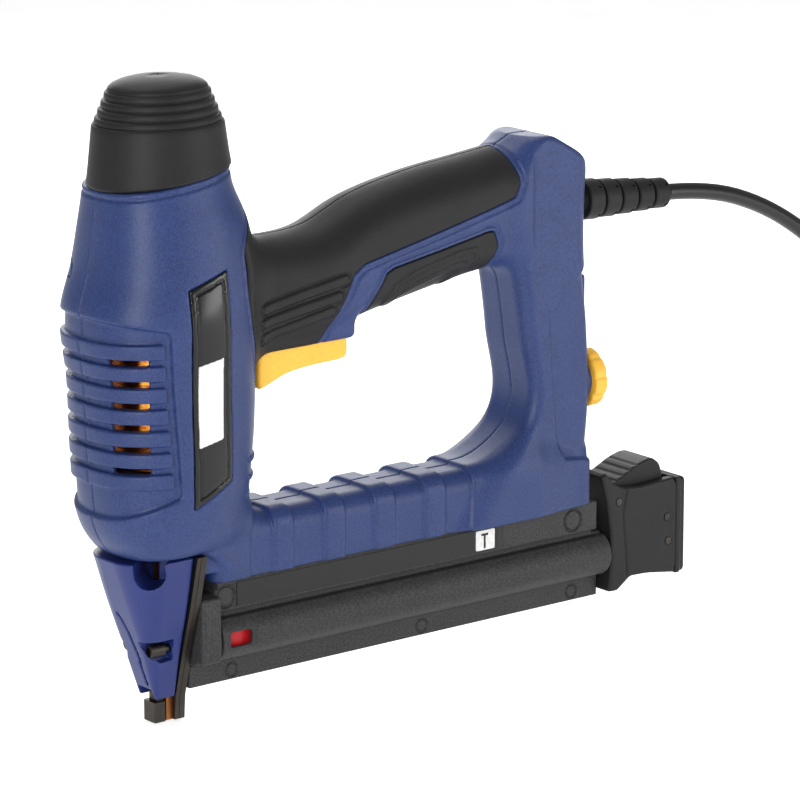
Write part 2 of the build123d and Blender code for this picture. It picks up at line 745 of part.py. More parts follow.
# ---------------------------------------------------------------- trigger and its switch
pivot_x, pivot_z = TRIGGER_PIVOT
pivot_bar = bar((pivot_x, -30, pivot_z), (pivot_x, 30, pivot_z), PIN_R + FIT)
trigger = cut(side_plate(TRIGGER_EDGE, -TRIGGER_HALF, TRIGGER_HALF, 0.8), pivot_bar)
trigger.label = "trigger"
export_step(trigger, "parts/trigger.step")
trigger_pin = bar((pivot_x, -9.1, pivot_z), (pivot_x, 9.1, pivot_z), PIN_R)
trigger_pin.label = "trigger_pin"
export_step(trigger_pin, "parts/trigger_pin.step")
switch_carrier = cut(
    block(40, 80, -9.5, 9.5, 147.4, 149.4),
    bar((60, 0, 140), (60, 0, 160), 2.2),
)
switch_carrier.label = "switch_carrier"
export_step(switch_carrier, "parts/switch_carrier.step")
micro_switch = joined(
    block(50, 70, -5, 5, 149.4, 160.0),
    bar((60, 0, 139.3), (60, 0, 150), 1.6),
)
micro_switch.label = "micro_switch"
export_step(micro_switch, "parts/micro_switch.step")
trigger_spring = coil_spring((44, 0, 137.7), (0, 0, 1), 9.4, 3.2, 0.7, 4)
trigger_spring.label = "trigger_spring"
export_step(trigger_spring, "parts/trigger_spring.step")

# ---------------------------------------------------------------- electronics, dial and power switch
with BuildPart() as circuit_board:
    with BuildSketch(Plane.XY.offset(59.0)):
        with Locations((91, 0)):
            Rectangle(64, 22)
    extrude(amount=1.6)
    with BuildSketch(Plane.XY.offset(60.6)):
        with Locations((70, 0), (106, 4)):
            Rectangle(8, 12)
    extrude(amount=5)
    with BuildSketch(Plane.XY.offset(60.6)):
        with Locations((86, 0)):
            Circle(5.5)
    extrude(amount=10)
circuit_board.part.label = "circuit_board"
export_step(circuit_board.part, "parts/circuit_board.step")

potentiometer = cut(
    joined(
        bar((172, 0, DIAL_Z), (180, 0, DIAL_Z), 8.0),
        bar((180, 0, DIAL_Z), (186, 0, DIAL_Z), 4.6),
    ),
    bar((174, 0, DIAL_Z), (190, 0, DIAL_Z), SHAFT_R + FIT),
)
potentiometer.label = "potentiometer"
export_step(potentiometer, "parts/potentiometer.step")
dial_shaft = bar((175, 0, DIAL_Z), (DIAL_FACE[0] + 5, 0, DIAL_Z), SHAFT_R)
dial_shaft.label = "dial_shaft"
export_step(dial_shaft, "parts/dial_shaft.step")
with BuildPart() as impact_dial:
    with BuildSketch(Plane.YZ.offset(DIAL_FACE[0])):
        with Locations((0, DIAL_Z)):
            Circle(DIAL_R)
            Circle(SHAFT_R, mode=Mode.SUBTRACT)
    extrude(amount=5)
    with BuildSketch(Plane.YZ.offset(DIAL_FACE[0] + 5)):
        with Locations((0, DIAL_Z)):
            Circle(DIAL_R)
    extrude(amount=DIAL_FACE[1] - DIAL_FACE[0] - 5)
    chamfer(impact_dial.faces().sort_by(Axis.X)[-1].edges(), 1.6)
impact_dial.part.label = "impact_dial"
export_step(impact_dial.part, "parts/impact_dial.step")

switch_bezel = cut(
    block(188.0, BEZEL_X, -8.5, 8.5, 116.5, 142.3),
    loft_post(0),
    block(180, 220, -SWITCH_SLOT[0], SWITCH_SLOT[0], SWITCH_Z - SWITCH_SLOT[1], SWITCH_Z + SWITCH_SLOT[1]),
)
switch_bezel.label = "switch_bezel"
export_step(switch_bezel, "parts/switch_bezel.step")
power_slider = joined(
    block(186.0, BEZEL_X + 2.2, -2.3, 2.3, SWITCH_Z - 7.6, SWITCH_Z - 7.6 + 9.2),
    block(183.0, 186.0, -4.5, 4.5, SWITCH_Z - 7.6, SWITCH_Z - 7.6 + 9.2),
)
power_slider.label = "power_slider"
export_step(power_slider, "parts/power_slider.step")
switch_body = block(172.0, 182.6, -7.0, 7.0, SWITCH_Z - 11, SWITCH_Z + 11)
switch_body.label = "switch_body"
export_step(switch_body, "parts/switch_body.step")

# ---------------------------------------------------------------- cord, clamp, coil and plug
gland_start = Vector(GLAND[0], 0, GLAND[1])
gland_tip = Vector(GLAND_TIP[0], 0, GLAND_TIP[1])
gland_way = (gland_tip - gland_start).normalized()
gland_plane = Plane(origin=gland_start, z_dir=gland_way)
gland_length = (gland_tip - gland_start).length
with BuildPart() as strain_relief:
    with BuildSketch(gland_plane):
        Circle(7.0)
    with BuildSketch(gland_plane.offset(gland_length)):
        Circle(4.4)
    loft()
    for ring in range(GLAND_RINGS):
        share = ring / (GLAND_RINGS - 1)
        with BuildSketch(gland_plane.offset(GLAND_FIRST + ring * GLAND_PITCH)):
            Circle(7.9 - 2.1 * share)
        extrude(amount=GLAND_PITCH * 0.66)
    with BuildSketch(gland_plane):
        Circle(9.4)
    extrude(amount=2.0)
strain_relief.part.label = "strain_relief"
export_step(strain_relief.part, "parts/strain_relief.step")

cable_clamp = cut(
    block(166, 176, -9.0, 9.0, 166.5, 176.5),
    bar((160, 0, GLAND[1] + 1.0), (180, 0, GLAND[1] + 1.0), CORD_R),
)
cable_clamp.label = "cable_clamp"
export_step(cable_clamp, "parts/cable_clamp.step")

with BuildPart() as inner_leads:
    for side in (-1, 1):
        y = side * 2.6
        with BuildLine() as lead_path:
            FilletPolyline(
                (166, y, 171.0),
                (161.5, y, 168.0),
                (162.0, y, 146),
                (167.5, y, 128),
                (167.5, y, 86),
                (152, y, 69.5),
                (124, y, 69.5),
                (118.5, y, 61.2),
                radius=4.0,
            )
        with BuildSketch(Plane(origin=lead_path.line @ 0, z_dir=lead_path.line % 0)):
            Circle(0.9)
        sweep()
inner_leads.part.label = "inner_leads"
export_step(inner_leads.part, "parts/inner_leads.step")

# The cord falls to the surface and is folded into a long, slim hank there, with the plug after it.
radii = []
for before, here, after in zip(CORD_ROUTE, CORD_ROUTE[1:], CORD_ROUTE[2:]):
    run_in = Vector(here) - Vector(before)
    run_out = Vector(after) - Vector(here)
    half_turn = radians(run_in.get_angle(run_out)) / 2
    radii.append(0.45 * min(run_in.length, run_out.length) / tan(half_turn))
with BuildPart() as mains_cord:
    with BuildLine() as cord_path:
        FilletPolyline(*CORD_ROUTE, radius=radii)
    with BuildSketch(Plane(origin=cord_path.line @ 0, z_dir=cord_path.line % 0)):
        Circle(CORD_R)
    sweep()
mains_cord.part.label = "mains_cord"
export_step(mains_cord.part, "parts/mains_cord.step")

with BuildPart() as cord_coil:
    with BuildSketch(Plane.XY):
        with Locations((HANK_X, 0)):
            SlotCenterToCenter(HANK_STRAIGHT, HANK_WIDTH)
            SlotCenterToCenter(HANK_STRAIGHT, HANK_EYE, mode=Mode.SUBTRACT)
    extrude(amount=HANK_HEIGHT)
    levels = cord_coil.edges().group_by(Axis.Z)
    fillet(levels[0] + levels[-1], 4.0)
cord_coil.part.label = "cord_coil"
export_step(cord_coil.part, "parts/cord_coil.step")

# ---------------------------------------------------------------- tail and plug
cord_tail = bar((HANK_X + HANK_STRAIGHT / 2, STRAND_Y, CORD_R), (PLUG_X, PLUG_Y, PLUG_NECK / 2), CORD_R)
cord_tail.label = "cord_tail"
export_step(cord_tail, "parts/cord_tail.step")

pin_plane = Plane.YZ.offset(PLUG_X + PLUG_LENGTH)
face_z = PLUG_FACE[1] / 2
with BuildPart() as plug:
    with BuildSketch(Plane.YZ.offset(PLUG_X)):
        with Locations((PLUG_Y, 5.0)):
            RectangleRounded(PLUG_NECK, PLUG_NECK, 4.7)
    with BuildSketch(Plane.YZ.offset(PLUG_X + 0.6 * PLUG_LENGTH)):
        with Locations((PLUG_Y, PLUG_WAIST[1] / 2 + 0.2)):
            RectangleRounded(*PLUG_WAIST, 8.0)
    with BuildSketch(pin_plane):
        with Locations((PLUG_Y, face_z)):
            RectangleRounded(*PLUG_FACE, 12.0)
    loft()
plug.part.label = "plug"
export_step(plug.part, "parts/plug.step")

with BuildPart() as plug_pins:
    with BuildSketch(pin_plane):
        with Locations((PLUG_Y - PLUG_PIN[2], face_z), (PLUG_Y + PLUG_PIN[2], face_z)):
            Circle(PLUG_PIN[0])
    extrude(amount=PLUG_PIN[1])
plug_pins.part.label = "plug_pins"
export_step(plug_pins.part, "parts/plug_pins.step")
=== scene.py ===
"""Looks of the corded electric brad nailer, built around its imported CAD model.

Moulded pieces are shaped as distance fields on voxels, in millimetres, and meshed with OpenVDB.
The frame is the CAD's: +X runs from the nose to the cord, +Z is up, and Y = 0 is the middle plane.
"""
import json
from math import cos, pi, radians, sin
import bpy
import numpy as np
import openvdb
from mathutils import Matrix, Vector

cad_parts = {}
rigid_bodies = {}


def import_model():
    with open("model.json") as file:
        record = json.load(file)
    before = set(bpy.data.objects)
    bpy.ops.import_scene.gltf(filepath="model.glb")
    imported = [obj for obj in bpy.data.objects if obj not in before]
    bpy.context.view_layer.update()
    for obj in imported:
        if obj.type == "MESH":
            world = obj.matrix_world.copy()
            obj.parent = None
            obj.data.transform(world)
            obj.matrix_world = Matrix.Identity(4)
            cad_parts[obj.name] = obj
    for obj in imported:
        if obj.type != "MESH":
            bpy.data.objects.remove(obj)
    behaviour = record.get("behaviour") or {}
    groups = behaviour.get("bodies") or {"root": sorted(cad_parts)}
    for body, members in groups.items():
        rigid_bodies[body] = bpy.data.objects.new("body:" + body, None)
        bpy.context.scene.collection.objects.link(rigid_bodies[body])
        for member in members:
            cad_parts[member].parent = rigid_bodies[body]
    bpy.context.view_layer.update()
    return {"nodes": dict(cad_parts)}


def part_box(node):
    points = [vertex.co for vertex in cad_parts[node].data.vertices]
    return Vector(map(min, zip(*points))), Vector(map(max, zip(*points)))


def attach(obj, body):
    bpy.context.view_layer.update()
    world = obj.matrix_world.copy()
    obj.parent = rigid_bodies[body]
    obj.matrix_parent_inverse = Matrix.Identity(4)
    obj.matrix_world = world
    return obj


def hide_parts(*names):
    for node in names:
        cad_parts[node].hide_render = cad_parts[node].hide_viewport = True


for old in list(bpy.data.objects):
    bpy.data.objects.remove(old)
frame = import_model()
MM = 0.001

# ---------------------------------------------------------------- driving sizes, in millimetres
SEAM_FRONT = (-28.0, 201.5)  # the rubber cap's lower edge at its front, X and Z
SEAM_SLOPE = 6.5 / 54
CAP_MIDDLE = -0.8
WALL = 2.5
RUBBER = 1.6
SMALL = 0.4  # voxel of the covers, buttons and levers
FINE = 0.45  # voxel of the grips, panels and end block
MIDDLING = 0.5  # voxel of the magazine
COARSE = 0.6  # voxel of the housing
DIAL_Z = 99.0
BOOT_Z = 170.6
NOSE_SCREW = (6.8, 29.2)  # Y to each side, and Z
TRIGGER_PIVOT = (74.0, 140.2)
LATCH_PIVOT = (209.6, 49.4)
BULGE = (7.5, 29.5)  # the magazine bulge's round sides: Y to each side, and Z

# Tower: height, middle, half length, half width.
TOWER = (
    (66, -4, 20, 20.5),
    (73, -2, 27, 24.5),
    (84, -0.8, 32.2, 27.2),
    (100, 0, 34, 28.5),
    (130, 0.3, 35.4, 29),
    (157, -0.8, 36.0, 30),
    (172, 1.6, 34.2, 28.4),
    (186, 1.6, 31.8, 26.2),
    (201, -0.6, 27.6, 23.2),
    (212, -1, 26.6, 22.4),
)
# Handle: X, top, bottom, half width.
HANDLE = (
    (12, 181, 128, 15.5),
    (42, 176.6, 133.5, 16.5),
    (63, 178, 134.5, 17),
    (84, 186.2, 140, 17),
    (110, 191.8, 145, 17),
    (140, 195.2, 149.5, 16.6),
    (160, 197.4, 151, 16),
)
# Post: height, front, rear, corner radius.
POST = (
    (52, 132, 195, 7),
    (72, 146, 195, 7.5),
    (90, 162, 195.4, 5.5),
    (123, 160.5, 194.4, 5.5),
    (152, 155.5, 191.8, 6.5),
    (172, 150, 192.5, 8),
    (188, 154, 193, 8),
    (199.6, 163, 190, 7.5),
)
# Nose cover: height, length, half width, corner radius.
NOSE = ((9.4, 9, 5.5, 1.4), (28, 14.6, 9.6, 4.5), (46, 20.6, 14.4, 9.6), (65, 26.6, 18.6, 15))

GRIP_EDGE = (
    (27, 187),
    (20, 176.4),
    (21.5, 162),
    (25.5, 147),
    (29, 134),
    (30.5, 127),
    (57.5, 129.5),
    (64.3, 137.2),
    (76.5, 162.4),
    (115, 170.4),
    (152.5, 178.6),
    (155.4, 185),
    (151, 204),
    (90, 204),
    (40, 196),
)
PAD_EDGE = (
    (84.4, 142),
    (85.5, 148.5),
    (91, 159.3),
    (118, 163.8),
    (142, 168.0),
    (145, 161),
    (143.8, 149),
    (134, 144),
    (110, 132),
    (84.4, 132),
)
PANEL_EDGE = ((-8.5, 167.3), (9.1, 172.7), (11.5, 94.2), (-6.2, 85.7))
SCREWS = ((29, 187), (28, 82.4), (52, 63), (130, 63), (188, 66), (178, 187), (104, 181))
RIBS = [97.9 + 8.05 * i for i in range(7)]
WINDOWS = [101.9 + 8.05 * i for i in range(6)]
BANDS = ((12, 27.5), (38.8, 47.6), (62.4, 71.8), (86.0, 95.6), (110.2, 120.0), (133.5, 194))
TRIGGER_EDGE = (
    (38.0, 119.4),
    (41.5, 120.2),
    (51.7, 124.2),
    (64, 125.4),
    (77.5, 125.6),
    (79.8, 127.2),
    (79.8, 134.0),
    (77.5, 143.2),
    (70.5, 143.2),
    (68.0, 137.4),
    (38.2, 137.4),
)
BLOCK_EDGE = (
    (204.6, 13.4),
    (205.4, 22),
    (205.4, 37),
    (203.4, 50),
    (200.4, 60.6),
    (202.6, 62.2),
    (206.8, 57.4),
    (212, 54.8),
    (220, 53.9),
    (239.8, 54.8),
    (239.8, 15.4),
    (225, 17.6),
    (216, 17.9),
    (209.2, 13.2),
)
LATCH_EDGE = (
    (206.2, 47),
    (204.6, 51.5),
    (204.6, 54.8),
    (210, 56.3),
    (216, 58.8),
    (222, 61.6),
    (228, 63.1),
    (231, 62.9),
    (234.2, 60.4),
    (236.4, 53.5),
    (236.4, 50.6),
    (214, 46),
)

# The cord's route from the strain relief to the hank, as its CAD tube runs.
CORD_R = 3.3
CORD_ROUTE = (
    (243.4, 0, 167.2),
    (266, 0, 165.8),
    (296, 0, 155.5),
    (322, 0, 139.5),
    (345, -1, 119),
    (364, -4, 97),
    (380, -8.5, 73),
    (393, -14, 50),
    (406, -19, 31),
    (425, -21.7, 19),
)
HANK_X = 444.0
HANK_HALF = 35.0  # from the hank's middle to the middles of its round ends
TURN_R = 14.8
PITCH = 6.9
TAIL = ((479, -21.7, 3.3), (494, -19.5, 3.6), (506, -16.0, 4.2), (519, -12, 4.8))


# ---------------------------------------------------------------- fields
class Space:
    """A box of voxels. Fields on it are distances in millimetres, negative inside."""

    def __init__(self, low, high, voxel):
        self.low = np.array(low, np.float32)
        self.voxel = voxel
        x, y, z = (np.arange(a, b, voxel, dtype=np.float32) for a, b in zip(low, high))
        self.x = x[:, None, None]
        self.y = y[None, :, None]
        self.z = z[None, None, :]


def along(place, table, column):
    """A smooth curve through one column of a table, at these places along its first column."""
    table = np.array(table, np.float32)
    at, to = table[:, 0], table[:, column]
    slope = np.gradient(to, at)
    here = np.clip(place, at[0], at[-1])
    i = np.clip(np.searchsorted(at, here) - 1, 0, len(at) - 2)
    span = at[i + 1] - at[i]
    t = (here - at[i]) / span
    t2, t3 = t * t, t * t * t
    start = (2 * t3 - 3 * t2 + 1) * to[i] + (t3 - 2 * t2 + t) * span * slope[i]
    return (start + (3 * t2 - 2 * t3) * to[i + 1] + (t3 - t2) * span * slope[i + 1]).astype(np.float32)


def union(a, b, k):
    """a and b together, with a fillet of about k where they meet."""
    h = np.clip(0.5 + 0.5 * (b - a) / k, 0, 1)
    return b + (a - b) * h - k * h * (1 - h)


def common(a, b, k):
    """What a and b share, with a rounding of about k at the edge."""
    return -union(-a, -b, k)


def minus(a, b, k):
    """a with b cut out of it."""
    return -union(-a, b, k)


def rounded_box(u, v, half_u, half_v, r):
    """A rounded rectangle's distance."""
    qu = np.abs(u) - (half_u - r)
    qv = np.abs(v) - (half_v - r)
    return np.hypot(np.maximum(qu, 0), np.maximum(qv, 0)) + np.minimum(np.maximum(qu, qv), 0) - r


def box(s, x0, x1, y0, y1, z0, z1, r=0.0):
    """A box's distance, with edges rounded to r."""
    qx = np.abs(s.x - (x0 + x1) / 2) - ((x1 - x0) / 2 - r)
    qy = np.abs(s.y - (y0 + y1) / 2) - ((y1 - y0) / 2 - r)
    qz = np.abs(s.z - (z0 + z1) / 2) - ((z1 - z0) / 2 - r)
    outside = np.sqrt(np.maximum(qx, 0) ** 2 + np.maximum(qy, 0) ** 2 + np.maximum(qz, 0) ** 2)
    return outside + np.minimum(np.maximum(np.maximum(qx, qy), qz), 0) - r


def outline(u, v, points):
    """Distance to a closed outline in the plane of u and v."""
    u, v = np.broadcast_arrays(u, v)
    near = np.full(u.shape, 1e9, np.float32)
    inside = np.zeros(u.shape, bool)
    for (au, av), (bu, bv) in zip(points, [*points[1:], points[0]]):
        eu, ev = bu - au, bv - av
        t = np.clip(((u - au) * eu + (v - av) * ev) / (eu * eu + ev * ev), 0, 1)
        near = np.minimum(near, (u - au - eu * t) ** 2 + (v - av - ev * t) ** 2)
        if ev:
            inside ^= ((av > v) != (bv > v)) & (u < au + eu * (v - av) / ev)
    return np.where(inside, -1, 1) * np.sqrt(near)


def soften(points, share=0.2, rounds=2):
    """The outline with its corners cut off again and again."""
    points = [np.array(p, float) for p in points]
    for _ in range(rounds):
        cut = []
        for a, b in zip(points, [*points[1:], points[0]]):
            cut += [a + (b - a) * share, b - (b - a) * share]
        points = cut
    return [tuple(p) for p in points]


def line(u, v, points):
    """Distance to an open line in the plane of u and v."""
    near = 1e9
    for (au, av), (bu, bv) in zip(points, points[1:]):
        eu, ev = bu - au, bv - av
        t = np.clip(((u - au) * eu + (v - av) * ev) / (eu * eu + ev * ev), 0, 1)
        near = np.minimum(near, np.hypot(u - au - eu * t, v - av - ev * t))
    return near


# ---------------------------------------------------------------- pieces
def piece(name, points, faces, body, slot, nodes=()):
    """A mesh of quads or of mixed faces, given in millimetres, that rides on a body."""
    mesh = bpy.data.meshes.new(name)
    points = np.asarray(points, np.float32) * MM
    if isinstance(faces, np.ndarray):
        mesh.vertices.add(len(points))
        mesh.vertices.foreach_set("co", points.ravel())
        mesh.loops.add(faces.size)
        mesh.loops.foreach_set("vertex_index", faces.ravel().astype(np.int32))
        mesh.polygons.add(len(faces))
        starts = np.arange(0, faces.size, faces.shape[1], dtype=np.int32)
        mesh.polygons.foreach_set("loop_start", starts)
        mesh.update(calc_edges=True)
    else:
        mesh.from_pydata([tuple(p) for p in points], [], faces)
    mesh.validate()
    mesh.polygons.foreach_set("use_smooth", [True] * len(mesh.polygons))
    made = bpy.data.objects.new(name, mesh)
    bpy.context.scene.collection.objects.link(made)
    made.data.materials.append(FINISHES[slot])
    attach(made, body)
    if nodes:
        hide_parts(*nodes)
    return made


def moulded(name, s, field, body, slot, nodes=(), flip=False, place=None):
    """The field's surface as a piece, mirrored to the other side if flip."""
    field = np.broadcast_to(field, (s.x.size, s.y.size, s.z.size))
    field = np.ascontiguousarray(field, np.float32).copy()
    for axis in range(3):
        edge = [slice(None)] * 3
        for end in (0, -1):
            edge[axis] = end
            field[tuple(edge)] = np.maximum(field[tuple(edge)], 0.5 * s.voxel)
    band = 4 * s.voxel
    grid = openvdb.FloatGrid(band)
    grid.copyFromArray(np.clip(field, -band, band))
    points, _, quads = grid.convertToPolygons(isovalue=0.0, adaptivity=0.0)
    points = points * s.voxel + s.low
    quads = quads.astype(np.int64)
    corners = points[quads[:, :3]]
    volume = np.einsum("ij,ij->", corners[:, 0], np.cross(corners[:, 1], corners[:, 2]))
    if flip:
        points = points * np.array((1, -1, 1), np.float32)
    if (volume < 0) != flip:
        quads = quads[:, ::-1]
    if place is not None:
        points = np.array(points) @ np.array(place.to_3x3()).T + np.array(place.translation)
    return piece(name, points, np.ascontiguousarray(quads), body, slot, nodes)


def skinned(name, rings, body, slot, nodes):
    """A surface through closed rings of points."""
    count = len(rings[0])
    points = [p for ring in rings for p in ring]
    faces = []
    for row in range(len(rings) - 1):
        for i in range(count):
            j = (i + 1) % count
            a, b = row * count, (row + 1) * count
            faces.append((a + i, a + j, b + j, b + i))
    return piece(name, points, faces, body, slot, nodes)


# ---------------------------------------------------------------- finishes
def finish_nodes(name):
    """A new material, with its nodes, links and shader, and where a point is on its piece."""
    made = bpy.data.materials.new(name)
    made.use_nodes = True
    nodes, links = made.node_tree.nodes, made.node_tree.links
    shader = nodes["Principled BSDF"]
    where = nodes.new("ShaderNodeTexCoord")
    return made, nodes, links, shader, where.outputs["Object"]


def noise(nodes, links, where, size, detail=2.0, rough=0.5, stretch=None):
    """Noise whose cells are about size millimetres."""
    if stretch:
        mapping = nodes.new("ShaderNodeMapping")
        mapping.inputs["Scale"].default_value = stretch
        links.new(where, mapping.inputs["Vector"])
        where = mapping.outputs["Vector"]
    made = nodes.new("ShaderNodeTexNoise")
    made.inputs["Scale"].default_value = 1000 / size
    made.inputs["Detail"].default_value = detail
    made.inputs["Roughness"].default_value = rough
    links.new(where, made.inputs["Vector"])
    return made.outputs["Fac"]


def ramp(nodes, links, value, low, high, start=0.3, end=0.7):
    """A colour from low to high as the value goes from start to end."""
    made = nodes.new("ShaderNodeValToRGB")
    made.color_ramp.elements[0].position = start
    made.color_ramp.elements[0].color = low
    made.color_ramp.elements[1].position = end
    made.color_ramp.elements[1].color = high
    links.new(value, made.inputs["Fac"])
    return made.outputs["Color"]


def spread(nodes, links, value, low, high):
    """A value of 0 to 1 spread over low to high."""
    made = nodes.new("ShaderNodeMapRange")
    made.inputs["To Min"].default_value = low
    made.inputs["To Max"].default_value = high
    links.new(value, made.inputs["Value"])
    return made.outputs["Result"]


def bump(nodes, links, value, depth):
    """A normal raised by the value, to a depth in millimetres."""
    made = nodes.new("ShaderNodeBump")
    made.inputs["Distance"].default_value = depth * MM
    made.inputs["Strength"].default_value = 1.0
    links.new(value, made.inputs["Height"])
    return made.outputs["Normal"]


def rgb(r, g, b):
    """A colour from its everyday 0 to 255 values."""
    shares = (c / 255 for c in (r, g, b))
    return (*(((c + 0.055) / 1.055) ** 2.4 if c > 10 / 255 else c / 12.92 for c in shares), 1.0)


def moulded_finish(name, colour, rough, grain=0.35, depth=0.05, spec=0.5, coat=0.0, fleck=0.12):
    """Moulded plastic or rubber: fine spark grain, cloudy colour and roughness."""
    made, nodes, links, shader, where = finish_nodes(name)
    cloud = noise(nodes, links, where, 14, 4, 0.6)
    speck = noise(nodes, links, where, grain * 1.3, 1)
    low = tuple(c * 0.86 for c in colour[:3]) + (1,)
    high = tuple(min(1, c * 1.1 + 0.002) for c in colour[:3]) + (1,)
    base = ramp(nodes, links, cloud, low, high)
    dark = tuple(c * (1 - fleck) for c in colour[:3]) + (1,)
    light = tuple(min(1, c * (1 + fleck) + 0.002) for c in colour[:3]) + (1,)
    fine = ramp(nodes, links, speck, dark, light, 0.38, 0.62)
    mix = nodes.new("ShaderNodeMix")
    mix.data_type = "RGBA"
    mix.inputs["Factor"].default_value = 0.5
    links.new(base, mix.inputs["A"])
    links.new(fine, mix.inputs["B"])
    links.new(mix.outputs["Result"], shader.inputs["Base Color"])
    smudge = noise(nodes, links, where, 30, 5, 0.65)
    links.new(spread(nodes, links, smudge, rough - 0.07, rough + 0.07), shader.inputs["Roughness"])
    grains = noise(nodes, links, where, grain, 2, 0.6)
    links.new(bump(nodes, links, grains, depth), shader.inputs["Normal"])
    shader.inputs["Specular IOR Level"].default_value = spec
    shader.inputs["Coat Weight"].default_value = coat
    shader.inputs["Coat Roughness"].default_value = 0.08
    return made


def metal_finish(name, colour, rough, stretch=(1, 1, 0.08), depth=0.01):
    """Metal with fine drawn lines and cloudy tarnish."""
    made, nodes, links, shader, where = finish_nodes(name)
    cloud = noise(nodes, links, where, 9, 4, 0.6)
    base = ramp(nodes, links, cloud, tuple(c * 0.72 for c in colour[:3]) + (1,), colour)
    links.new(base, shader.inputs["Base Color"])
    lines = noise(nodes, links, where, 0.35, 3, 0.6, stretch)
    links.new(spread(nodes, links, lines, rough - 0.1, rough + 0.12), shader.inputs["Roughness"])
    links.new(bump(nodes, links, lines, depth), shader.inputs["Normal"])
    shader.inputs["Metallic"].default_value = 1.0
    return made


BLUE = rgb(38, 55, 103)
FINISHES = {
    "blue_plastic": moulded_finish("blue_plastic", BLUE, 0.42, 0.55, 0.09, 0.34, fleck=0.34),
    "blue_gloss": moulded_finish("blue_gloss", rgb(27, 42, 104), 0.34, 0.5, 0.03, 0.4),
    "black_rubber": moulded_finish("black_rubber", rgb(27, 27, 28), 0.52, 0.45, 0.06, 0.24),
    "cord_sheath": moulded_finish("cord_sheath", rgb(15, 15, 16), 0.3, 0.8, 0.015, 0.4),
    "black_gloss": moulded_finish("black_gloss", rgb(13, 13, 14), 0.16, 1.2, 0.006, 0.3, coat=0.12),
    "black_plastic": moulded_finish("black_plastic", rgb(28, 28, 29), 0.45, 0.45, 0.06, 0.22),
    "grey_plastic": moulded_finish("grey_plastic", rgb(50, 50, 51), 0.52, 0.6, 0.12, 0.25, fleck=0.5),
    "inner_plastic": moulded_finish("inner_plastic", rgb(48, 48, 52), 0.5, spec=0.25),
    "red_plastic": moulded_finish("red_plastic", rgb(176, 20, 26), 0.3, 0.6, 0.02, 0.3),
    "yellow_plastic": moulded_finish("yellow_plastic", rgb(246, 186, 66), 0.34, 0.5, 0.02, 0.3),
    "board": moulded_finish("board", rgb(20, 74, 45), 0.4, 0.8, 0.02, 0.3),
    "black_steel": metal_finish("black_steel", rgb(74, 70, 66), 0.42),
    "bright_steel": metal_finish("bright_steel", rgb(190, 190, 194), 0.28),
    "copper": metal_finish("copper", rgb(236, 132, 62), 0.3),
    "bronze": metal_finish("bronze", rgb(160, 104, 62), 0.42),
    "white_label": moulded_finish("white_label", rgb(222, 222, 220), 0.3, 0.8, 0.008, 0.4, coat=0.3),
}


def paint_glow(made):
    """Painted light on the windings: the near side of the turns behind the upper vents glows with
    emitted streaks of yellow and red, in place of lamp light caught on them.
    """
    nodes, links = made.node_tree.nodes, made.node_tree.links
    shader = nodes["Principled BSDF"]
    where = nodes.new("ShaderNodeTexCoord").outputs["Object"]
    streaks = noise(nodes, links, where, 5, 3, 0.6, (1, 1, 3))
    colour = ramp(nodes, links, streaks, rgb(150, 26, 4), rgb(255, 190, 84), 0.36, 0.62)
    links.new(colour, shader.inputs["Emission Color"])
    apart = nodes.new("ShaderNodeSeparateXYZ")
    links.new(where, apart.inputs["Vector"])
    share = None
    for axis, dark, lit in (("Y", -0.0088, -0.0102), ("Z", 0.1135, 0.1145)):
        reach = nodes.new("ShaderNodeMapRange")
        reach.inputs["From Min"].default_value = dark
        reach.inputs["From Max"].default_value = lit
        links.new(apart.outputs[axis], reach.inputs["Value"])
        if share is not None:
            links.new(share, reach.inputs["To Max"])
        share = reach.outputs["Result"]
    links.new(share, shader.inputs["Emission Strength"])
    shader.inputs["Base Color"].default_value = rgb(60, 30, 18)


# The windings' copper finish carries a painted glow: emitted light that stands in for light caught on
# the turns behind the upper vents.
paint_glow(FINISHES["copper"])

# ---------------------------------------------------------------- camera, floor and light
camera_data = bpy.data.cameras.new("camera")
camera_data.lens = 207
camera_data.sensor_width = 36
camera_data.clip_start = 0.05
camera = bpy.data.objects.new("camera", camera_data)
camera.location = (-0.9422, -1.3226, 0.52505)
camera.rotation_euler = (radians(90 - 14), 0, radians(-38.5))
bpy.context.scene.collection.objects.link(camera)
bpy.context.scene.camera = camera

made, nodes, links, shader, where = finish_nodes("floor")
cloud = noise(nodes, links, where, 60, 3)
pale = ramp(nodes, links, cloud, (0.86, 0.86, 0.86, 1), (0.9, 0.9, 0.9, 1))
links.new(pale, shader.inputs["Base Color"])
shader.inputs["Roughness"].default_value = 0.7
shader.inputs["Emission Color"].default_value = (1, 1, 1, 1)
shader.inputs["Emission Strength"].default_value = 0.62
floor_mesh = bpy.data.meshes.new("floor")
FLOOR = ((-6, -6), (7, -6), (7, 7), (-6, 7))  # in metres
floor_mesh.from_pydata([(x, y, -0.0005) for x, y in FLOOR], [], [(0, 1, 2, 3)])
floor = bpy.data.objects.new("floor", floor_mesh)
floor.data.materials.append(made)
bpy.context.scene.collection.objects.link(floor)

world = bpy.data.worlds.new("studio")
world.use_nodes = True
world.node_tree.nodes["Background"].inputs["Color"].default_value = (1, 1, 1, 1)
world.node_tree.nodes["Background"].inputs["Strength"].default_value = 0.36
bpy.context.scene.world = world
bpy.context.scene.view_settings.view_transform = "Standard"


def softbox(name, place, at, size, watts):
    """An area lamp at a place, turned towards a point."""
    lamp = bpy.data.lights.new(name, "AREA")
    lamp.shape = "RECTANGLE"
    lamp.size, lamp.size_y = size
    lamp.energy = watts
    made = bpy.data.objects.new(name, lamp)
    made.location = place
    made.rotation_euler = (Vector(at) - Vector(place)).to_track_quat("-Z", "Y").to_euler()
    bpy.context.scene.collection.objects.link(made)


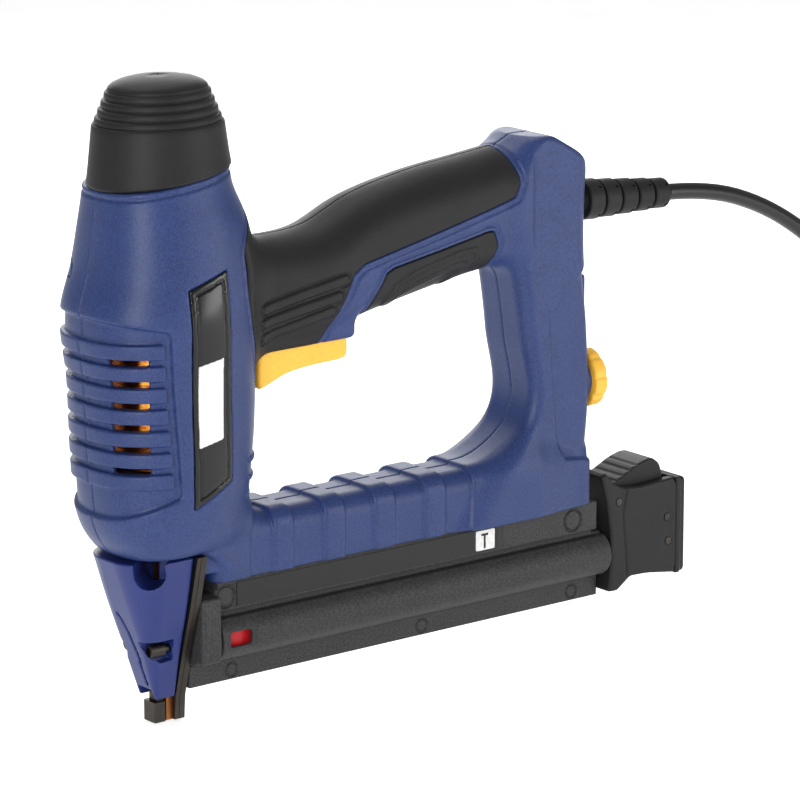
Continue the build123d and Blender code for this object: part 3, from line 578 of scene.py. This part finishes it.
AIM = (0.08, 0, 0.11)
softbox("key", (-0.95, -1.0, 0.45), AIM, (0.5, 0.5), 11)
softbox("side", (0.85, -0.95, 0.3), AIM, (0.4, 0.6), 4)
softbox("top", (0.15, 0.35, 1.1), AIM, (0.9, 0.5), 5)
softbox("back", (0.55, 0.9, 0.5), AIM, (0.8, 0.6), 5)

# ---------------------------------------------------------------- cord
# The folded strands fill a square of three by three places, each next to the one before it.
PLACES = ((1, 1), (0, 1), (-1, 1), (-1, 0), (-1, -1), (0, -1), (0, 0), (1, 0), (1, -1))
hank = []
for here, after in zip(PLACES, PLACES[1:]):
    for step in range(18):
        share = min(1.0, max(0.0, (step - 12) / 5))
        out, up = (here[i] * (1 - share) + after[i] * share for i in (0, 1))
        radius = TURN_R + out * PITCH
        angle = radians(22.5) * (step if step < 9 else step - 1) - pi / 2
        end = HANK_HALF if step < 9 else -HANK_HALF
        hank.append((HANK_X + end + radius * cos(angle), radius * sin(angle), CORD_R + (up + 1) * PITCH))
route = [*CORD_ROUTE, *hank, *TAIL]
curve = bpy.data.curves.new("cord", "CURVE")
curve.dimensions = "3D"
curve.bevel_depth = CORD_R * MM
curve.bevel_resolution = 6
curve.use_fill_caps = True
curve.resolution_u = 6
spline = curve.splines.new("NURBS")
spline.points.add(len(route) - 1)
for point, (x, y, z) in zip(spline.points, route):
    point.co = (x * MM, y * MM, z * MM, 1)
spline.order_u = 3
spline.use_endpoint_u = True
cord = bpy.data.objects.new("mains_lead", curve)
bpy.context.scene.collection.objects.link(cord)
cord.data.materials.append(FINISHES["cord_sheath"])
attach(cord, "tool")
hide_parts("mains_cord", "cord_coil", "cord_tail")

# ---------------------------------------------------------------- housing
s = Space((-42, -34, 46), (206, 1.4, 215), COARSE)


def tower_field(s):
    """The solenoid's tower, an oval that is squarer in front than behind."""
    middle, half_x, half_y = (along(s.z, TOWER, column) for column in (1, 2, 3))
    u = (s.x - middle) / half_x
    v = s.y / half_y
    power = np.where(u < 0, 2.5, 2.0).astype(np.float32)
    u, v = np.abs(u), np.abs(v)
    near = (u**power + v**power + 1e-6) ** (1 / power)
    steep = np.hypot((u / near) ** (power - 1) / half_x, (v / near) ** (power - 1) / half_y)
    return (near - 1) / steep


def handle_field(s):
    """The grip's bar, with a block for the trigger under it."""
    top, bottom, half = (along(s.x, HANDLE, column) for column in (1, 2, 3))
    field = 0.95 * rounded_box(s.y, s.z - (top + bottom) / 2, half, (top - bottom) / 2, half - 0.4)
    field = np.maximum(field, np.maximum(12 - s.x, s.x - 160))
    return union(field, box(s, 34, 80.5, -11.5, 11.5, 134.2, 150, 2.5), 3.0)


def post_field(s):
    """The upright behind the hand, with a roof that slopes down to the rear."""
    front, rear, corner = (along(s.z, POST, column) for column in (1, 2, 3))
    field = rounded_box(s.x - (front + rear) / 2, s.y, (rear - front) / 2, 14.5, corner)
    roof = common(s.z - 199.9, (s.x - 173.5) * 0.5 + (s.z - 199.9) * 0.866, 1.5)
    return common(field, roof, 3.0)


def base_field(s):
    """The bar over the magazine, slim with raised bands."""
    corner = np.where(s.z > 64, 7.5, 1.0).astype(np.float32)
    slim = rounded_box(s.y, s.z - 63.2, 14.1, 11.3, corner)
    full = rounded_box(s.y, s.z - 64, 15.5, 12, corner)
    bands = 99.0
    for start, end in BANDS:
        bands = np.minimum(bands, np.abs(s.x - (start + end) / 2) - (end - start) / 2)
    field = union(slim, common(full, bands, 1.4), 0.8)
    return common(field, rounded_box(s.x - 103, s.y, 91, 15.5, 5.5), 1.0)


def body_field(s):
    """The housing's outer surface, without its openings and details."""
    base = base_field(s)
    post = post_field(s)
    field = union(common(tower_field(s), 66 - s.z, 3.0), base, 16.0)
    field = union(field, common(box(s, 4.9, 16, -15, 15, 56.5, 70, 1.0), field - 4, 1.0), 1.0)
    rear = np.clip((s.x - 165) / 20, 0, 1)  # the fillets shrink towards the rear
    field = union(field, union(handle_field(s), post, 7.0), 8 - 5 * rear)
    field = union(field, base, 1.0)
    field = union(field, union(base, post, 15 - 12 * rear), 0.5)
    return common(field, 52 - s.z, 0.8)


seam = s.z - SEAM_FRONT[1] - SEAM_SLOPE * (s.x - SEAM_FRONT[0])
tower = tower_field(s)
body = body_field(s)

# The vents: a sunk front with seven ribs and six windows into the tower.
front_edge = -11.4 - 0.082 * (s.z - 93)
sunk = common(s.x - front_edge, s.z - 156.9 + 0.2 * (s.x + 36), 2.0)
sunk = common(sunk, 82.8 - s.z + 0.386 * (s.x + 33), 2.0)
detail = minus(body, common(sunk, -(body + 2.0), 1.0), 1.2)
rib_edge = s.x - front_edge + 2.6
for height in RIBS:
    bar = rounded_box(s.z - height, tower + 1.4, 2.8, 1.35, 0.5)
    detail = union(detail, common(bar, rib_edge, 0.8), 0.4)
turn = np.arctan2(-s.y, -s.x)
for height in WINDOWS:
    gap = common(np.abs(s.z - height) - 1.25, (np.abs(turn - radians(33)) - radians(12.5)) * 30, 0.8)
    detail = minus(detail, common(gap, s.x + 6, 0.5), 0.5)

# The flat inlay's bed, the grips' beds and the fine beads round them.
flat = outline(s.x, s.z, PANEL_EDGE)
bed = common(common(flat - 0.1, -(body + 1.0), 0.3), s.y + 8, 0.3)
detail = minus(detail, bed, 0.5)
grip = outline(s.x, s.z, soften(GRIP_EDGE, 0.1, 1))
pad = outline(s.x, s.z, soften(PAD_EDGE, 0.1, 1))
for edge in (grip, pad):
    bed = common(edge - 0.1, -(body + RUBBER + 0.15), 0.3)
    detail = minus(detail, bed, 0.5)
    bead = np.hypot(edge - 2.1, body) - 0.65
    detail = minus(detail, bead, 0.15)
detail = minus(detail, np.hypot(seam + 2.2, body) - 0.7, 0.2)

# Three small ridges low on the tower's rear.
for height in (84.6, 91.6, 98.6):
    ridge = np.hypot(s.z - height, tower + 0.1) - 1.1
    detail = union(detail, np.maximum(ridge, 24 - s.x), 0.5)

# The flat on the post's rear flank and the dial's boss.
flank_edge = ((206, 158), (190, 146), (171.7, 130), (174, 100), (176.5, 77.6), (179, 72.5), (206, 68))
flank = outline(s.x, s.z, flank_edge)
detail = minus(detail, common(flank, common(-(body + 1.2), s.y + 3, 0.5), 1.0), 1.0)
boss = common(np.hypot(s.y, s.z - DIAL_Z) - 9.6, np.maximum(s.x - 197.9, 180 - s.x), 0.8)
detail = union(detail, boss, 1.0)

# Openings.
slot = box(s, 35.6, 81.8, -7.5, 7.5, 100, 147)
room = common(common(tower + 4.2, 69 - s.z, 0.5), s.z - 197, 0.5)
handle_room = common(box(s, 38, 84, -11, 11, 147.0, 166, 1.0), handle_field(s) + WALL, 0.5)
post_room = common(box(s, 166, 187.5, -11, 11, 86, 180, 1.0), post_field(s) + WALL, 0.5)
base_room = common(box(s, 50, 130, -12, 12, 55, 72.5, 1.0), base_field(s) + WALL, 0.5)
for opening in (slot, room, handle_room, post_room, base_room):
    detail = minus(detail, opening, 0.3)
detail = minus(detail, np.hypot(s.y, s.z - DIAL_Z) - 3.2 + np.maximum(0, 180 - s.x), 0.2)
detail = minus(detail, common(np.hypot(s.y, s.z - BOOT_Z) - 8.4, 178 - s.x, 0.2), 0.2)
detail = minus(detail, common(box(s, 180, 210, -2.9, 2.9, 121.1, 137.7), 180 - s.x, 0.2), 0.2)
detail = minus(detail, common(np.hypot(s.x, s.y) - 3.2, s.z - 75, 0.2), 0.2)

# The rubber cap grips a neck that stands inside it.
detail = common(detail, seam, 0.6)
neck = common(np.maximum(tower + 3.4, -(tower + 5.4)), np.maximum(s.z - 213, 192 - s.z), 0.4)
detail = minus(detail, common(tower + 5.4, 190 - s.z, 0.4), 0.4)
detail = union(detail, neck, 0.8)

half = common(detail, s.y + 0.04, 0.5)
moulded("housing_left_shell", s, half, "tool", "blue_plastic", ["housing_left"])
dimple = np.sqrt((s.x + 28.4) ** 2 + (s.y + 14.6) ** 2 + (s.z - 171) ** 2) - 3.6
half = minus(half, np.abs(dimple) - 0.6, 0.3)
for x, z in SCREWS:
    reach = np.hypot(s.x - x, s.z - z)
    sunk_head = np.maximum(reach - 3.3, s.y + 8.5)
    half = minus(half, np.minimum(sunk_head, reach - 1.55), 0.3)
moulded("housing_right_shell", s, half, "tool", "blue_plastic", ["housing_right"], flip=True)

# ---------------------------------------------------------------- rubber grips
s = Space((17, -21, 126), (161, 0.9, 207), FINE)
skin = body_field(s)
grip = outline(s.x, s.z, soften(GRIP_EDGE, 0.1, 1))
pad = outline(s.x, s.z, soften(PAD_EDGE, 0.1, 1))
bars = 9.0
for trail in (
    ((34.3, 152.3), (52.4, 155.7), (70.8, 158.6)),
    ((34.2, 147.1), (51.1, 150.1), (67.8, 152.7)),
    ((34.7, 141.3), (49.9, 144.5), (64.8, 147.4)),
):
    bars = np.minimum(bars, line(s.x, s.z, trail))
nested = 9.0
for drop in (3.4, 6.4, 9.4):
    trail = (
        (90.6 + 0.5 * drop, 143),
        (94 + 0.6 * drop, 158.2 - drop),
        (136 - drop, 166.2 - drop),
        (139 - drop, 160 - drop),
    )
    nested = np.minimum(nested, line(s.x, s.z, soften(trail, 0.2, 1)[:-1]))
opening = box(s, 35.6, 81.8, -7.5, 7.5, 100, 147.2)
upper_raised = 0.5 * np.clip(2.0 - bars, 0, 1) - 0.7 * np.clip(1 - np.abs(bars - 2.4) / 0.7, 0, 1)
lower_raised = 0.6 * np.clip(1.5 - nested, 0, 1)
for part, edge, raised in (("upper_grip", grip, upper_raised), ("lower_grip", pad, lower_raised)):
    field = common(skin + 0.02 - raised, -(skin + RUBBER), 0.2)
    field = common(field, edge + 0.15, 0.4)
    field = minus(field, opening, 0.3)
    field = common(field, s.y + 0.03, 0.3)
    for side, flip in (("left", False), ("right", True)):
        name = part + "_" + side
        moulded(name + "_skin", s, field, "tool", "black_rubber", [name], flip=flip)

# ---------------------------------------------------------------- side panels
s = Space((-13, -32, 83), (14, -20, 176), FINE)
tower = tower_field(s)
flat = outline(s.x, s.z, PANEL_EDGE)
field = common(common(tower - 0.1, -(tower + 1.0), 0.2), flat + 0.2, 0.3)
field = minus(field, np.maximum(np.abs(flat + 2.6) - 0.35, -(tower + 0.45)), 0.2)
for side, flip in (("left", False), ("right", True)):
    name = "side_panel_" + side
    moulded(name + "_inlay", s, field, "tool", "black_gloss", [name], flip=flip)
tag = outline(s.x, s.z, ((-5.2, 139.4), (6.0, 141.2), (6.3, 111), (-4.8, 108.8)))
field = common(common(tower - 0.32, -(tower + 0.6), 0.1), tag, 0.2)
label = moulded("side_panel_label", s, field, "tool", "black_gloss")
label.data.materials[0] = FINISHES["white_label"]
s = Space((136, -13.5, 41.4), (147, -12.5, 51), 0.2)
tag = rounded_box(s.x - 141.3, s.z - 46.1, 4.7, 4.0, 0.7)
field = common(tag, np.maximum(-13.15 - s.y, s.y + 12.8), 0.1)
nail_shank = rounded_box(s.x - 141, s.z - 45.4, 0.5, 2.6, 0.1)
nail = np.minimum(nail_shank, rounded_box(s.x - 141, s.z - 48.3, 1.7, 0.45, 0.1))
label = moulded("size_label", s, minus(field, nail, 0.1), "tool", "black_gloss")
label.data.materials[0] = FINISHES["white_label"]

# ---------------------------------------------------------------- rubber cap
AROUND = 128


def cap_ring(half_x, half_y, height):
    """An oval ring of points, with a height for each X."""
    ring = []
    for i in range(AROUND):
        angle = 2 * pi * i / AROUND
        x = CAP_MIDDLE + half_x * cos(angle)
        ring.append((x, half_y * sin(angle), height(x)))
    return ring


def seam_height(lift):
    """The height of a ring that follows the sloping seam."""
    return lambda x: SEAM_FRONT[1] + SEAM_SLOPE * (x - SEAM_FRONT[0]) + lift


def level(z):
    """The height of a ring that lies flat."""
    return lambda x: z


def skirt(half_x, half_y, share, top=223.2):
    """A ring that goes from the sloping seam to a flat top as share goes from 0 to 1."""
    return cap_ring(half_x, half_y, lambda x: seam_height(0.15)(x) * (1 - share) + top * share)


rings = [skirt(24.2, 19.8, 0), skirt(27.2, 22.8, 0), skirt(27.6, 23.2, 0.02), skirt(27.5, 23.1, 0.06)]
rings += [skirt(27.5 - 2.3 * t, 23.1 - 1.8 * t, t) for t in (0.3, 0.6, 0.9, 1.0)]
rings.append(cap_ring(24.9, 21.0, level(223.8)))
for number in range(4):
    z = 224.0 + 3.0 * number
    a, b = 24.2 - 1.27 * number, 20.4 - 1.1 * number
    rings += [
        cap_ring(a - 0.5, b - 0.5, level(z)),
        cap_ring(a - 0.1, b - 0.1, level(z + 0.15)),
        cap_ring(a, b, level(z + 0.5)),
        cap_ring(a - 0.2, b - 0.2, level(z + 1.9)),
        cap_ring(a - 0.5, b - 0.5, level(z + 2.35)),
        cap_ring(a - 1.3, b - 1.3, level(z + 2.55)),
    ]
crown = (
    (19.2, 16.0, 236.0),
    (18.9, 15.7, 236.8),
    (17.6, 14.6, 237.9),
    (15, 12.4, 239.0),
    (11, 9.2, 239.9),
    (6, 5, 240.4),
    (0.5, 0.4, 240.6),
)
hollow = ((0.5, 0.4, 237.0), (15.5, 15.0, 236.2), (18.5, 16.6, 226), (20.5, 17.5, 214))
for a, b, z in (*crown, *hollow):
    rings.append(cap_ring(a, b, level(z)))
rings += [skirt(23.9, 19.4, 0.2), skirt(24.2, 19.8, 0)]
skinned("tower_cap_rubber", rings, "tool", "black_rubber", ["tower_cap"])

# ---------------------------------------------------------------- nose cover
s = Space((-29, -21.5, 8.4), (0.3, 21.5, 66.2), SMALL)
length, half_w, corner = (along(s.z, NOSE, column) for column in (1, 2, 3))
body = rounded_box(s.x, s.y, length, half_w, corner)
body = common(body, np.maximum(s.x + 0.3, np.maximum(s.z - 65.2, 9.4 - s.z)), 0.9)
channel = box(s, -10.0, 1, -4.6, 4.6, 0, 66, 0.5)
side = -np.abs(s.y)
pocket = outline(s.x, s.z, ((-16.5, 33.4), (-4.3, 33.4), (-3.6, 25.0), (-9.0, 24.6), (-13.5, 27.5)))
pocket = np.where(s.y < 0, pocket, np.maximum(pocket, -12.5 - s.x))
body = minus(body, np.maximum(pocket, side + 5.4), 0.4)
notch = np.hypot(s.x * 0.64 - s.y * 0.77, np.minimum(s.z - 60.6, 0)) - 5.4
reach = -s.x * 0.77 - s.y * 0.64
body = minus(body, np.maximum(notch, 8.0 - reach), 0.5)
bite = np.sqrt((s.x + 15.6) ** 2 + (s.y - 10.4) ** 2 + (s.z - 27.3) ** 2) - 5.2
body = minus(body, bite, 0.5)
slit_line = ((3.4, 43), (1.6, 40.5), (-0.2, 36), (-1.4, 30), (-2.4, 24.5), (-1.6, 24.2), (-2.6, 15.5))
slit = line(s.y, s.z, slit_line) - 0.6
body = minus(body, np.maximum(slit, -(rounded_box(s.x, s.y, length, half_w, corner) + 1.5)), 0.2)
body = minus(body, channel, 0.3)
post_screw = np.hypot(side + NOSE_SCREW[0], s.z - NOSE_SCREW[1])
body = union(body, np.maximum(post_screw - 2.6, np.maximum(s.x + 0.3, -4.2 - s.x)), 0.3)
body = minus(body, np.maximum(post_screw - 1.55, -8 - s.x), 0.2)
moulded("nose_cover_shell", s, body, "tool", "blue_gloss", ["nose_cover"])

# ---------------------------------------------------------------- magazine
s = Space((3.8, -17.2, 19.6), (203.8, 17.2, 52.8), MIDDLING)


def bulge_field(s, radius):
    """Two round sides joined by a flat block of the same height."""
    out, up = np.abs(s.y) - BULGE[0], s.z - BULGE[1]
    return np.minimum(np.hypot(out, up) - radius, np.maximum(out, np.abs(up) - radius))


strip = box(s, 4.6, 198.4, -12.5, 12.5, 29.5, 51.9, 0.6)
ends = np.maximum(4.6 - s.x, s.x - 203)
body = common(union(bulge_field(s, 9), strip, 0.6), ends, 0.6)
groove = box(s, 15, 250, 9.3, 30, 37.4, 40.2, 0.4)
groove = np.minimum(groove, box(s, 15, 250, -30, -9.3, 37.4, 40.2, 0.4))
body = minus(body, groove, 0.6)
body = union(body, box(s, 4.6, 13.4, -16.7, 16.7, 22.4, 47.4, 1.2), 0.3)
body = minus(body, box(s, 0, 14.2, -30, 30, 47.6, 60), 0.4)
for x, z in ((18.2, 45.8), (186.0, 46.0)):
    disc = np.abs(np.hypot(s.x - x, s.z - z) - 4.2) - 0.4
    body = minus(body, np.maximum(disc, 11.5 - np.abs(s.y)), 0.15)
frame_edge = soften(((21.5, 40.9), (150, 40.9), (150, 51.2), (21.5, 51.2)), 0.04, 1)
frame_line = np.abs(outline(s.x, s.z, frame_edge)) - 0.25
body = minus(body, np.maximum(frame_line, 12.1 - np.abs(s.y)), 0.2)
window = rounded_box(s.x - 22.6, s.z - 29.8, 5.0, 2.8, 1.2)
body = minus(body, np.maximum(window, 5.0 - np.abs(s.y)), 0.3)
body = minus(body, np.maximum(np.abs(window - 1.4) - 0.4, 15.9 - np.abs(s.y)), 0.2)
body = minus(body, np.maximum(np.abs(s.x - 13.9) - 0.5, 11.6 - np.abs(s.y)), 0.2)
body = minus(body, np.maximum(bulge_field(s, 7), 10 - s.x), 0.3)
body = minus(body, box(s, 0, 400, -1.6, 1.6, 10, 30), 0.3)
body = minus(body, box(s, 0, 400, -1.1, 1.1, 28, 44.2), 0.3)
post_screw = np.hypot(np.abs(s.y) - NOSE_SCREW[0], s.z - NOSE_SCREW[1])
body = minus(body, np.maximum(post_screw - 1.5, s.x - 10.5), 0.2)
moulded("magazine_housing", s, body, "tool", "grey_plastic", ["magazine_body"])

s = Space((4.6, -7.8, 11.2), (204.2, 7.8, 21), FINE)
body = box(s, 5.2, 203.4, -7, 7, 11.5, 20.0, 0.4)
body = minus(body, box(s, 0, 300, -1, 1, 13.4, 30), 0.2)
for x in (24.5, 114.9, 190):
    disc = np.abs(np.hypot(s.x - x, s.z - 15.4) - 2.6) - 0.4
    body = minus(body, np.maximum(disc, 6.3 - np.abs(s.y)), 0.15)
moulded("magazine_slide_rail", s, body, "magazine_slide", "grey_plastic", ["magazine_rail"])

s = Space((198.6, -14, 11.8), (240.4, 14, 63), FINE)
body = outline(s.x, s.z, soften(BLOCK_EDGE, 0.08, 1))
body = common(body, np.abs(s.y) - 13, 1.2)
body = minus(body, box(s, 205.8, 300, -9.3, 9.3, 43.5, 80, 0.3), 0.3)
body = minus(body, box(s, 204.0, 300, -9.3, 9.3, 54.7, 80, 0.3), 0.3)
body = minus(body, np.maximum(np.hypot(s.y - 7.5, s.z - 29.5) - 1.55, s.x - 212), 0.1)
for x, z in (LATCH_PIVOT, (235.0, 39.1), (235.6, 29.2)):
    body = minus(body, np.hypot(s.x - x, s.z - z) - 1.5, 0.1)
    rim = np.abs(np.hypot(s.x - x, s.z - z) - 2.6) - 0.2
    body = minus(body, np.maximum(rim, 12.7 - np.abs(s.y)), 0.2)
crease = np.abs(line(s.x, s.z, ((213.5, 54.2), (211.5, 44), (213.0, 30), (214, 18)))) - 0.3
body = minus(body, np.maximum(crease, 12.6 - np.abs(s.y)), 0.3)
moulded("magazine_catch_block", s, body, "magazine_slide", "black_plastic", ["magazine_end_block"])

s = Space((239.0, -13.8, 14.2), (248.6, 13.8, 54.8), SMALL)
body = box(s, 239.5, 245.2, -12.6, 12.6, 15, 54.2, 2.0)
body = union(body, box(s, 239.5, 242, -13, 13, 15, 54.6, 0.5), 0.6)
for number in range(6):
    ridge = np.hypot(s.x - 245.4, s.z - (23 + 4.6 * number)) - 1.1
    body = minus(body, np.maximum(ridge, np.abs(s.y) - 9.5), 0.5)
moulded("magazine_thumb_cap", s, body, "magazine_slide", "black_plastic", ["magazine_end_cap"])

s = Space((203.4, -9.8, 45.2), (237.4, 9.8, 64), SMALL)
body = outline(s.x, s.z, soften(LATCH_EDGE, 0.14))
body = common(body, np.abs(s.y) - 8.9, 1.0)
for number in range(4):
    x = 211 + 3.6 * number
    valley = np.hypot(s.x - x, s.z - 56.9 - 0.45 * (x - 210)) - 1.1
    body = minus(body, np.maximum(valley, np.abs(s.y) - 8.2), 0.3)
body = minus(body, np.hypot(s.x - LATCH_PIVOT[0], s.z - LATCH_PIVOT[1]) - 1.52, 0.1)
moulded("magazine_latch_button", s, body, "latch", "black_plastic", ["magazine_latch"])

# ---------------------------------------------------------------- trigger and dial
s = Space((37.4, -7.8, 119.6), (80.8, 7.8, 144.2), SMALL)
body = outline(s.x, s.z, soften(TRIGGER_EDGE, 0.2))
body = common(body, np.abs(s.y) - 6.95, 1.8)
body = minus(body, np.hypot(s.x - TRIGGER_PIVOT[0], s.z - TRIGGER_PIVOT[1]) - 1.56, 0.1)
moulded("trigger_lever", s, body, "trigger", "yellow_plastic", ["trigger"])

s = Space((187.8, -9, 115.5), (196.4, 9, 143.5), SMALL)
body = box(s, 188.6, 195.4, -8.2, 8.2, 116.5, 142.3, 1.6)
body = minus(body, box(s, 180, 220, -2.7, 2.7, 121.2, 137.6), 0.2)
moulded("switch_bezel_plate", s, body, "tool", "blue_plastic", ["switch_bezel"])

s = Space((194.6, -13, 86), (205, 13, 112), 0.35)
radius = np.hypot(s.y, s.z - DIAL_Z)
turn = np.arctan2(s.y, s.z - DIAL_Z)
edge = radius - 11.9 + 0.55 * np.maximum(0, np.cos(9 * turn)) ** 3
body = common(edge, np.maximum(198.3 - s.x, s.x - 204.2), 1.2)
body = minus(body, radius - 3.02 + np.maximum(0, s.x - 200.4) * 4, 0.1)
body = minus(body, np.maximum(np.abs(radius - 8.2) - 0.5, 203.7 - s.x), 0.4)
body = minus(body, np.maximum(np.abs(s.y) - 0.5, np.maximum(203.5 - s.x, 102 - s.z)), 0.3)
moulded("impact_knob", s, body, "dial", "yellow_plastic", ["impact_dial"])

# ---------------------------------------------------------------- strain relief
s = Space((-0.8, -10.4, -10.4), (58.2, 10.4, 10.4), SMALL)
radius = np.hypot(s.y, s.z)
taper = 7.3 - 2.5 * s.x / 57.5
body = radius - taper + 1.3
body = common(body, np.maximum(-s.x, s.x - 57.5), 0.6)
for number in range(5):
    start = 12.2 + 8.9 * number
    ring = common(radius - (8.0 - 0.5 * number), np.abs(s.x - start - 3.7) - 3.7, 0.7)
    body = union(body, ring, 0.3)
    for quarter in range(4):
        angle = quarter * pi / 2 + pi / 4
        hole = np.hypot(s.x - start - 6.0, s.y * cos(angle) - s.z * sin(angle)) - 0.7
        outer = s.y * sin(angle) + s.z * cos(angle)
        body = minus(body, np.maximum(hole, 6.4 - 0.5 * number - outer), 0.3)
body = union(body, common(radius - 9.4, np.abs(s.x - 1.0) - 1.0, 0.5), 0.3)
body = minus(body, np.maximum(radius - 3.35, 50 - s.x), 0.2)
place = Matrix.Translation((186, 0, BOOT_Z)) @ Matrix.Rotation(np.arctan2(3.4, 57.4), 4, "Y")
moulded("strain_relief_boot", s, body, "tool", "black_rubber", ["strain_relief"], place=place)

# ---------------------------------------------------------------- coil seen through the vents
profile = []
for layer in range(52):
    z = 98.2 + layer
    profile += [(19.1, z), (19.45, z + 0.3), (19.5, z + 0.5), (19.45, z + 0.7)]
rings = []
for radius, z in [(10.7, 98.1), *profile, (10.7, 149.9)]:
    rings.append([(radius * cos(2 * pi * i / 64), radius * sin(2 * pi * i / 64), z) for i in range(64)])
rings.append(rings[0])
# The copper finish paints a glow on the upper turns, standing in for light caught through the vents.
skinned("copper_windings", rings, "tool", "copper", ["coil_winding"])

# ---------------------------------------------------------------- CAD pieces that keep their shape
KEPT = {
    "black_steel": [
        "nose_plate_front",
        "nose_plate_rear",
        "housing_screws",
        "nose_screws",
        "nose_foot",
        "foot_stem",
        "block_pins",
    ],
    "bright_steel": [
        "solenoid_frame",
        "plunger",
        "driver_blade",
        "blade_pin",
        "return_spring",
        "follower_rod",
        "follower_spring",
        "latch_spring",
        "trigger_spring",
        "trigger_pin",
        "dial_shaft",
        "plug_pins",
    ],
    "bronze": ["nail_guide"],
    "black_gloss": ["magazine_panel_left", "magazine_panel_right"],
    "inner_plastic": [
        "coil_former",
        "switch_carrier",
        "micro_switch",
        "potentiometer",
        "switch_body",
        "cable_clamp",
    ],
    "black_plastic": ["power_slider"],
    "black_rubber": ["bumper", "plug"],
    "red_plastic": ["follower"],
    "cord_sheath": ["inner_leads"],
    "board": ["circuit_board"],
}
for slot_name, names in KEPT.items():
    for name in names:
        node = frame["nodes"][name]
        node.data.materials.clear()
        node.data.materials.append(FINISHES[slot_name])
        smallest = min(b - a for a, b in zip(*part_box(name)))
        bevel = node.modifiers.new("edges", "BEVEL")
        bevel.width = min(0.0003, 0.08 * smallest)
        bevel.segments = 2
        bevel.limit_method = "ANGLE"
        bevel.angle_limit = radians(35)
